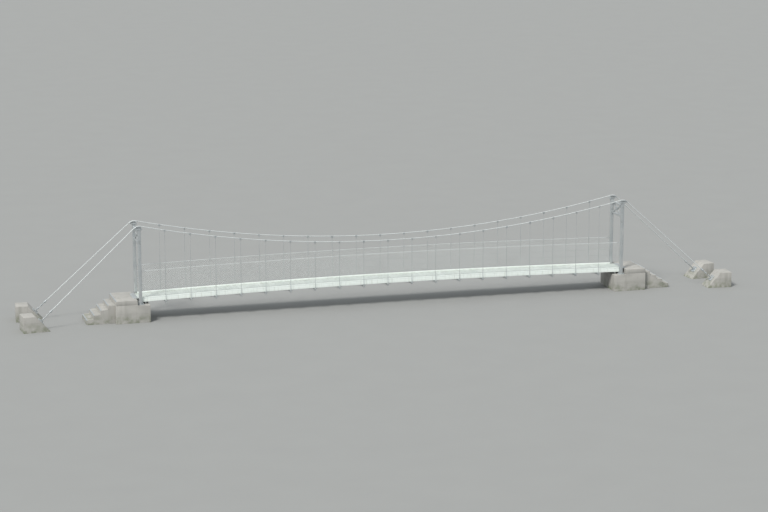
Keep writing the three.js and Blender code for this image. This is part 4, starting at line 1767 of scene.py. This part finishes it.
def add_cover_plate(steel, end):
    x = end * (half_span + cover_offset)
    sheet = plate(cover_long, 2 * deck_half_width, cover_thick)
    steel.add(sheet, Matrix.Translation((x, 0, deck_end + hair)))
    bead = plate(bead_long, bead_wide, bead_thick, bevel=0.0008)
    for row in range(bead_rows):
        for column in range(bead_columns):
            dx = (row - (bead_rows - 1) / 2) * bead_pitch
            y = (column - (bead_columns - 1) / 2) * bead_pitch
            lean = math.pi / 4 if (row + column) % 2 else -math.pi / 4
            spot = Matrix.Translation((x + dx, y, deck_end + cover_thick))
            steel.add(bead, spot @ Matrix.Rotation(lean, 4, "Z"))


trial = Heap()
add_cover_plate(trial, 1)
print("a cover plate has", len(trial.faces), "faces")

# %% [markdown]
# The nose of every step, and of the landing, is guarded by a steel angle let into the concrete,
# because feet would soon break a bare edge. A box along the edge could stand for it. The real L
# outline costs no more, and its thin lines are what shows of it.

# %% Step noses
nose = [(0.003, 0.0015), (0.003, -0.032), (-0.001, -0.032)]
nose += [(-0.001, -0.0025), (-0.042, -0.0025), (-0.042, 0.0015)]
nose_inset, landing_tuck = 0.01, 0.002


def add_step_noses(steel, end):
    for number in range(1, steps + 2):
        on_landing = number > steps
        x = steps_start + (steps - number + 1) * step_going - (landing_tuck if on_landing else 0)
        edge = Vector((end * x, 0, number * step_rise))
        half = (abutment_half if on_landing else steps_half) - nose_inset
        steel.add(carry(nose, [(edge - Y * half, X * end, Z), (edge + Y * half, X * end, Z)]))


for end_name, end in ends.items():
    details = Heap()
    add_cover_plate(details, end)
    add_step_noses(details, end)
    details.piece(f"end_details_{end_name}", zinc, "galvanised_steel")


# %% [markdown]
# The deck lies on rubber pads under the bearing beams, so that it can stretch in the heat without
# grinding the concrete. Rubber is nearly black and dull. Plain black would look like a hole,
# though, and real pads have dust on them, which is a little lighter and shows the moulding's fine
# grain.

# %% Rubber pads
pad_size, pad_gap = 0.12, 0.0002


def rubber_finish():
    recipe = Recipe("dusty_rubber", 0.8)
    dust, grain = recipe.noise(25, 5), recipe.noise(300, 2)
    tone = recipe.mix(recipe.fade(dust, 0.35, 0.7), (0.025, 0.025, 0.027, 1), (0.11, 0.11, 0.1, 1))
    return recipe.done(tone, recipe.fade(dust, 0.3, 0.7, 0.65, 0.9), recipe.bump(grain, 0.2, 0.0005))


rubber = rubber_finish()
pads = Heap()
for end in ends.values():
    for y in stringer_lines:
        spot = (end * (half_span - bearing_inset), y, seat_level + pad_gap)
        pad = plate(pad_size, pad_size, pad_thick - 2 * pad_gap, bevel=0.001)
        pads.add(pad, Matrix.Translation(spot))
pads.piece("bearing_pads", rubber, "galvanised_steel")


# %% [markdown]
# The stage stays plain, so that nothing draws the eye from the bridge. Its floor could be white,
# but ropes and deck are nearly white themselves and are seen against something darker in the
# picture. A pale grey keeps them readable. A plane is enough for it, with a cloud so faint that it
# only keeps the grey from looking dead.

# %% The floor
floor_reach = 400
floor_drop = 0.002


def floor_finish():
    recipe = Recipe("plain_studio_floor", 0.9)
    cloud = recipe.noise(0.6, 4)
    return recipe.done(recipe.mix(cloud, (0.275, 0.28, 0.275, 1), (0.292, 0.298, 0.292, 1)))


corners = [(x * floor_reach, y * floor_reach, 0) for x, y in ((-1, -1), (1, -1), (1, 1), (-1, 1))]
floor_mesh = bpy.data.meshes.new("studio_floor")
floor_mesh.from_pydata(corners, [], [(0, 1, 2, 3)])
floor_mesh.materials.append(floor_finish())
studio_floor = bpy.data.objects.new("studio_floor", floor_mesh)
bpy.context.collection.objects.link(studio_floor)
studio_floor.location.z = -floor_drop

# %% [markdown]
# The light in the picture is soft and comes from everywhere. An even light alone would flatten the
# ribs and the strands, so one big lamp from the upper left adds gentle shadows. It is a sun with a
# wide angle, because an area lamp would be brighter at one end of so long a bridge than at the
# other.

# %% The light
even_light = 0.7
world = bpy.data.worlds.new("soft_studio")
world.use_nodes = True
world.node_tree.nodes["Background"].inputs["Color"].default_value = (0.9, 0.94, 0.97, 1)
world.node_tree.nodes["Background"].inputs["Strength"].default_value = even_light
bpy.context.scene.world = world
bpy.context.scene.view_settings.view_transform = "Standard"

lamp = bpy.data.lights.new("big_soft_lamp", "SUN")
lamp.energy = 3.05
lamp.angle = math.radians(16)
lamp.color = (1, 0.975, 0.94)
lamp_object = bpy.data.objects.new("big_soft_lamp", lamp)
bpy.context.collection.objects.link(lamp_object)
lamp_object.rotation_euler = [math.radians(turned) for turned in (38, -14, -30)]
print("lamp strength", round(lamp.energy, 2), "over an even light of", even_light)

# %% [markdown]
# The picture looks at the bridge from far away, a little from above, with the right-hand end
# further off. A short lens close by would make the near tower loom. A long lens from ninety metres
# gives the same flat perspective, and the whole length just fills the frame.

# %% The camera at the picture's angle
azimuth, elevation, distance = math.radians(-16), math.radians(12), 90
aim_point = Vector((0, 0, 1.9))
level_reach = math.cos(elevation)
back = Vector((math.sin(azimuth) * level_reach, -math.cos(azimuth) * level_reach, math.sin(elevation)))
camera = bpy.data.cameras.new("view")
camera.lens = 105
camera.sensor_width = 36
camera.clip_end = 2000
view = bpy.data.objects.new("view", camera)
bpy.context.collection.objects.link(view)
view.location = aim_point + back * distance
view.rotation_euler = back.to_track_quat("Z", "Y").to_euler()
bpy.context.scene.camera = view
print("camera at", [round(v, 2) for v in view.location])

# %% [markdown]
# Dressing must not make the bridge bigger than its solids. It could be checked by eye, but a washer
# that stands out by a millimetre is easily missed.
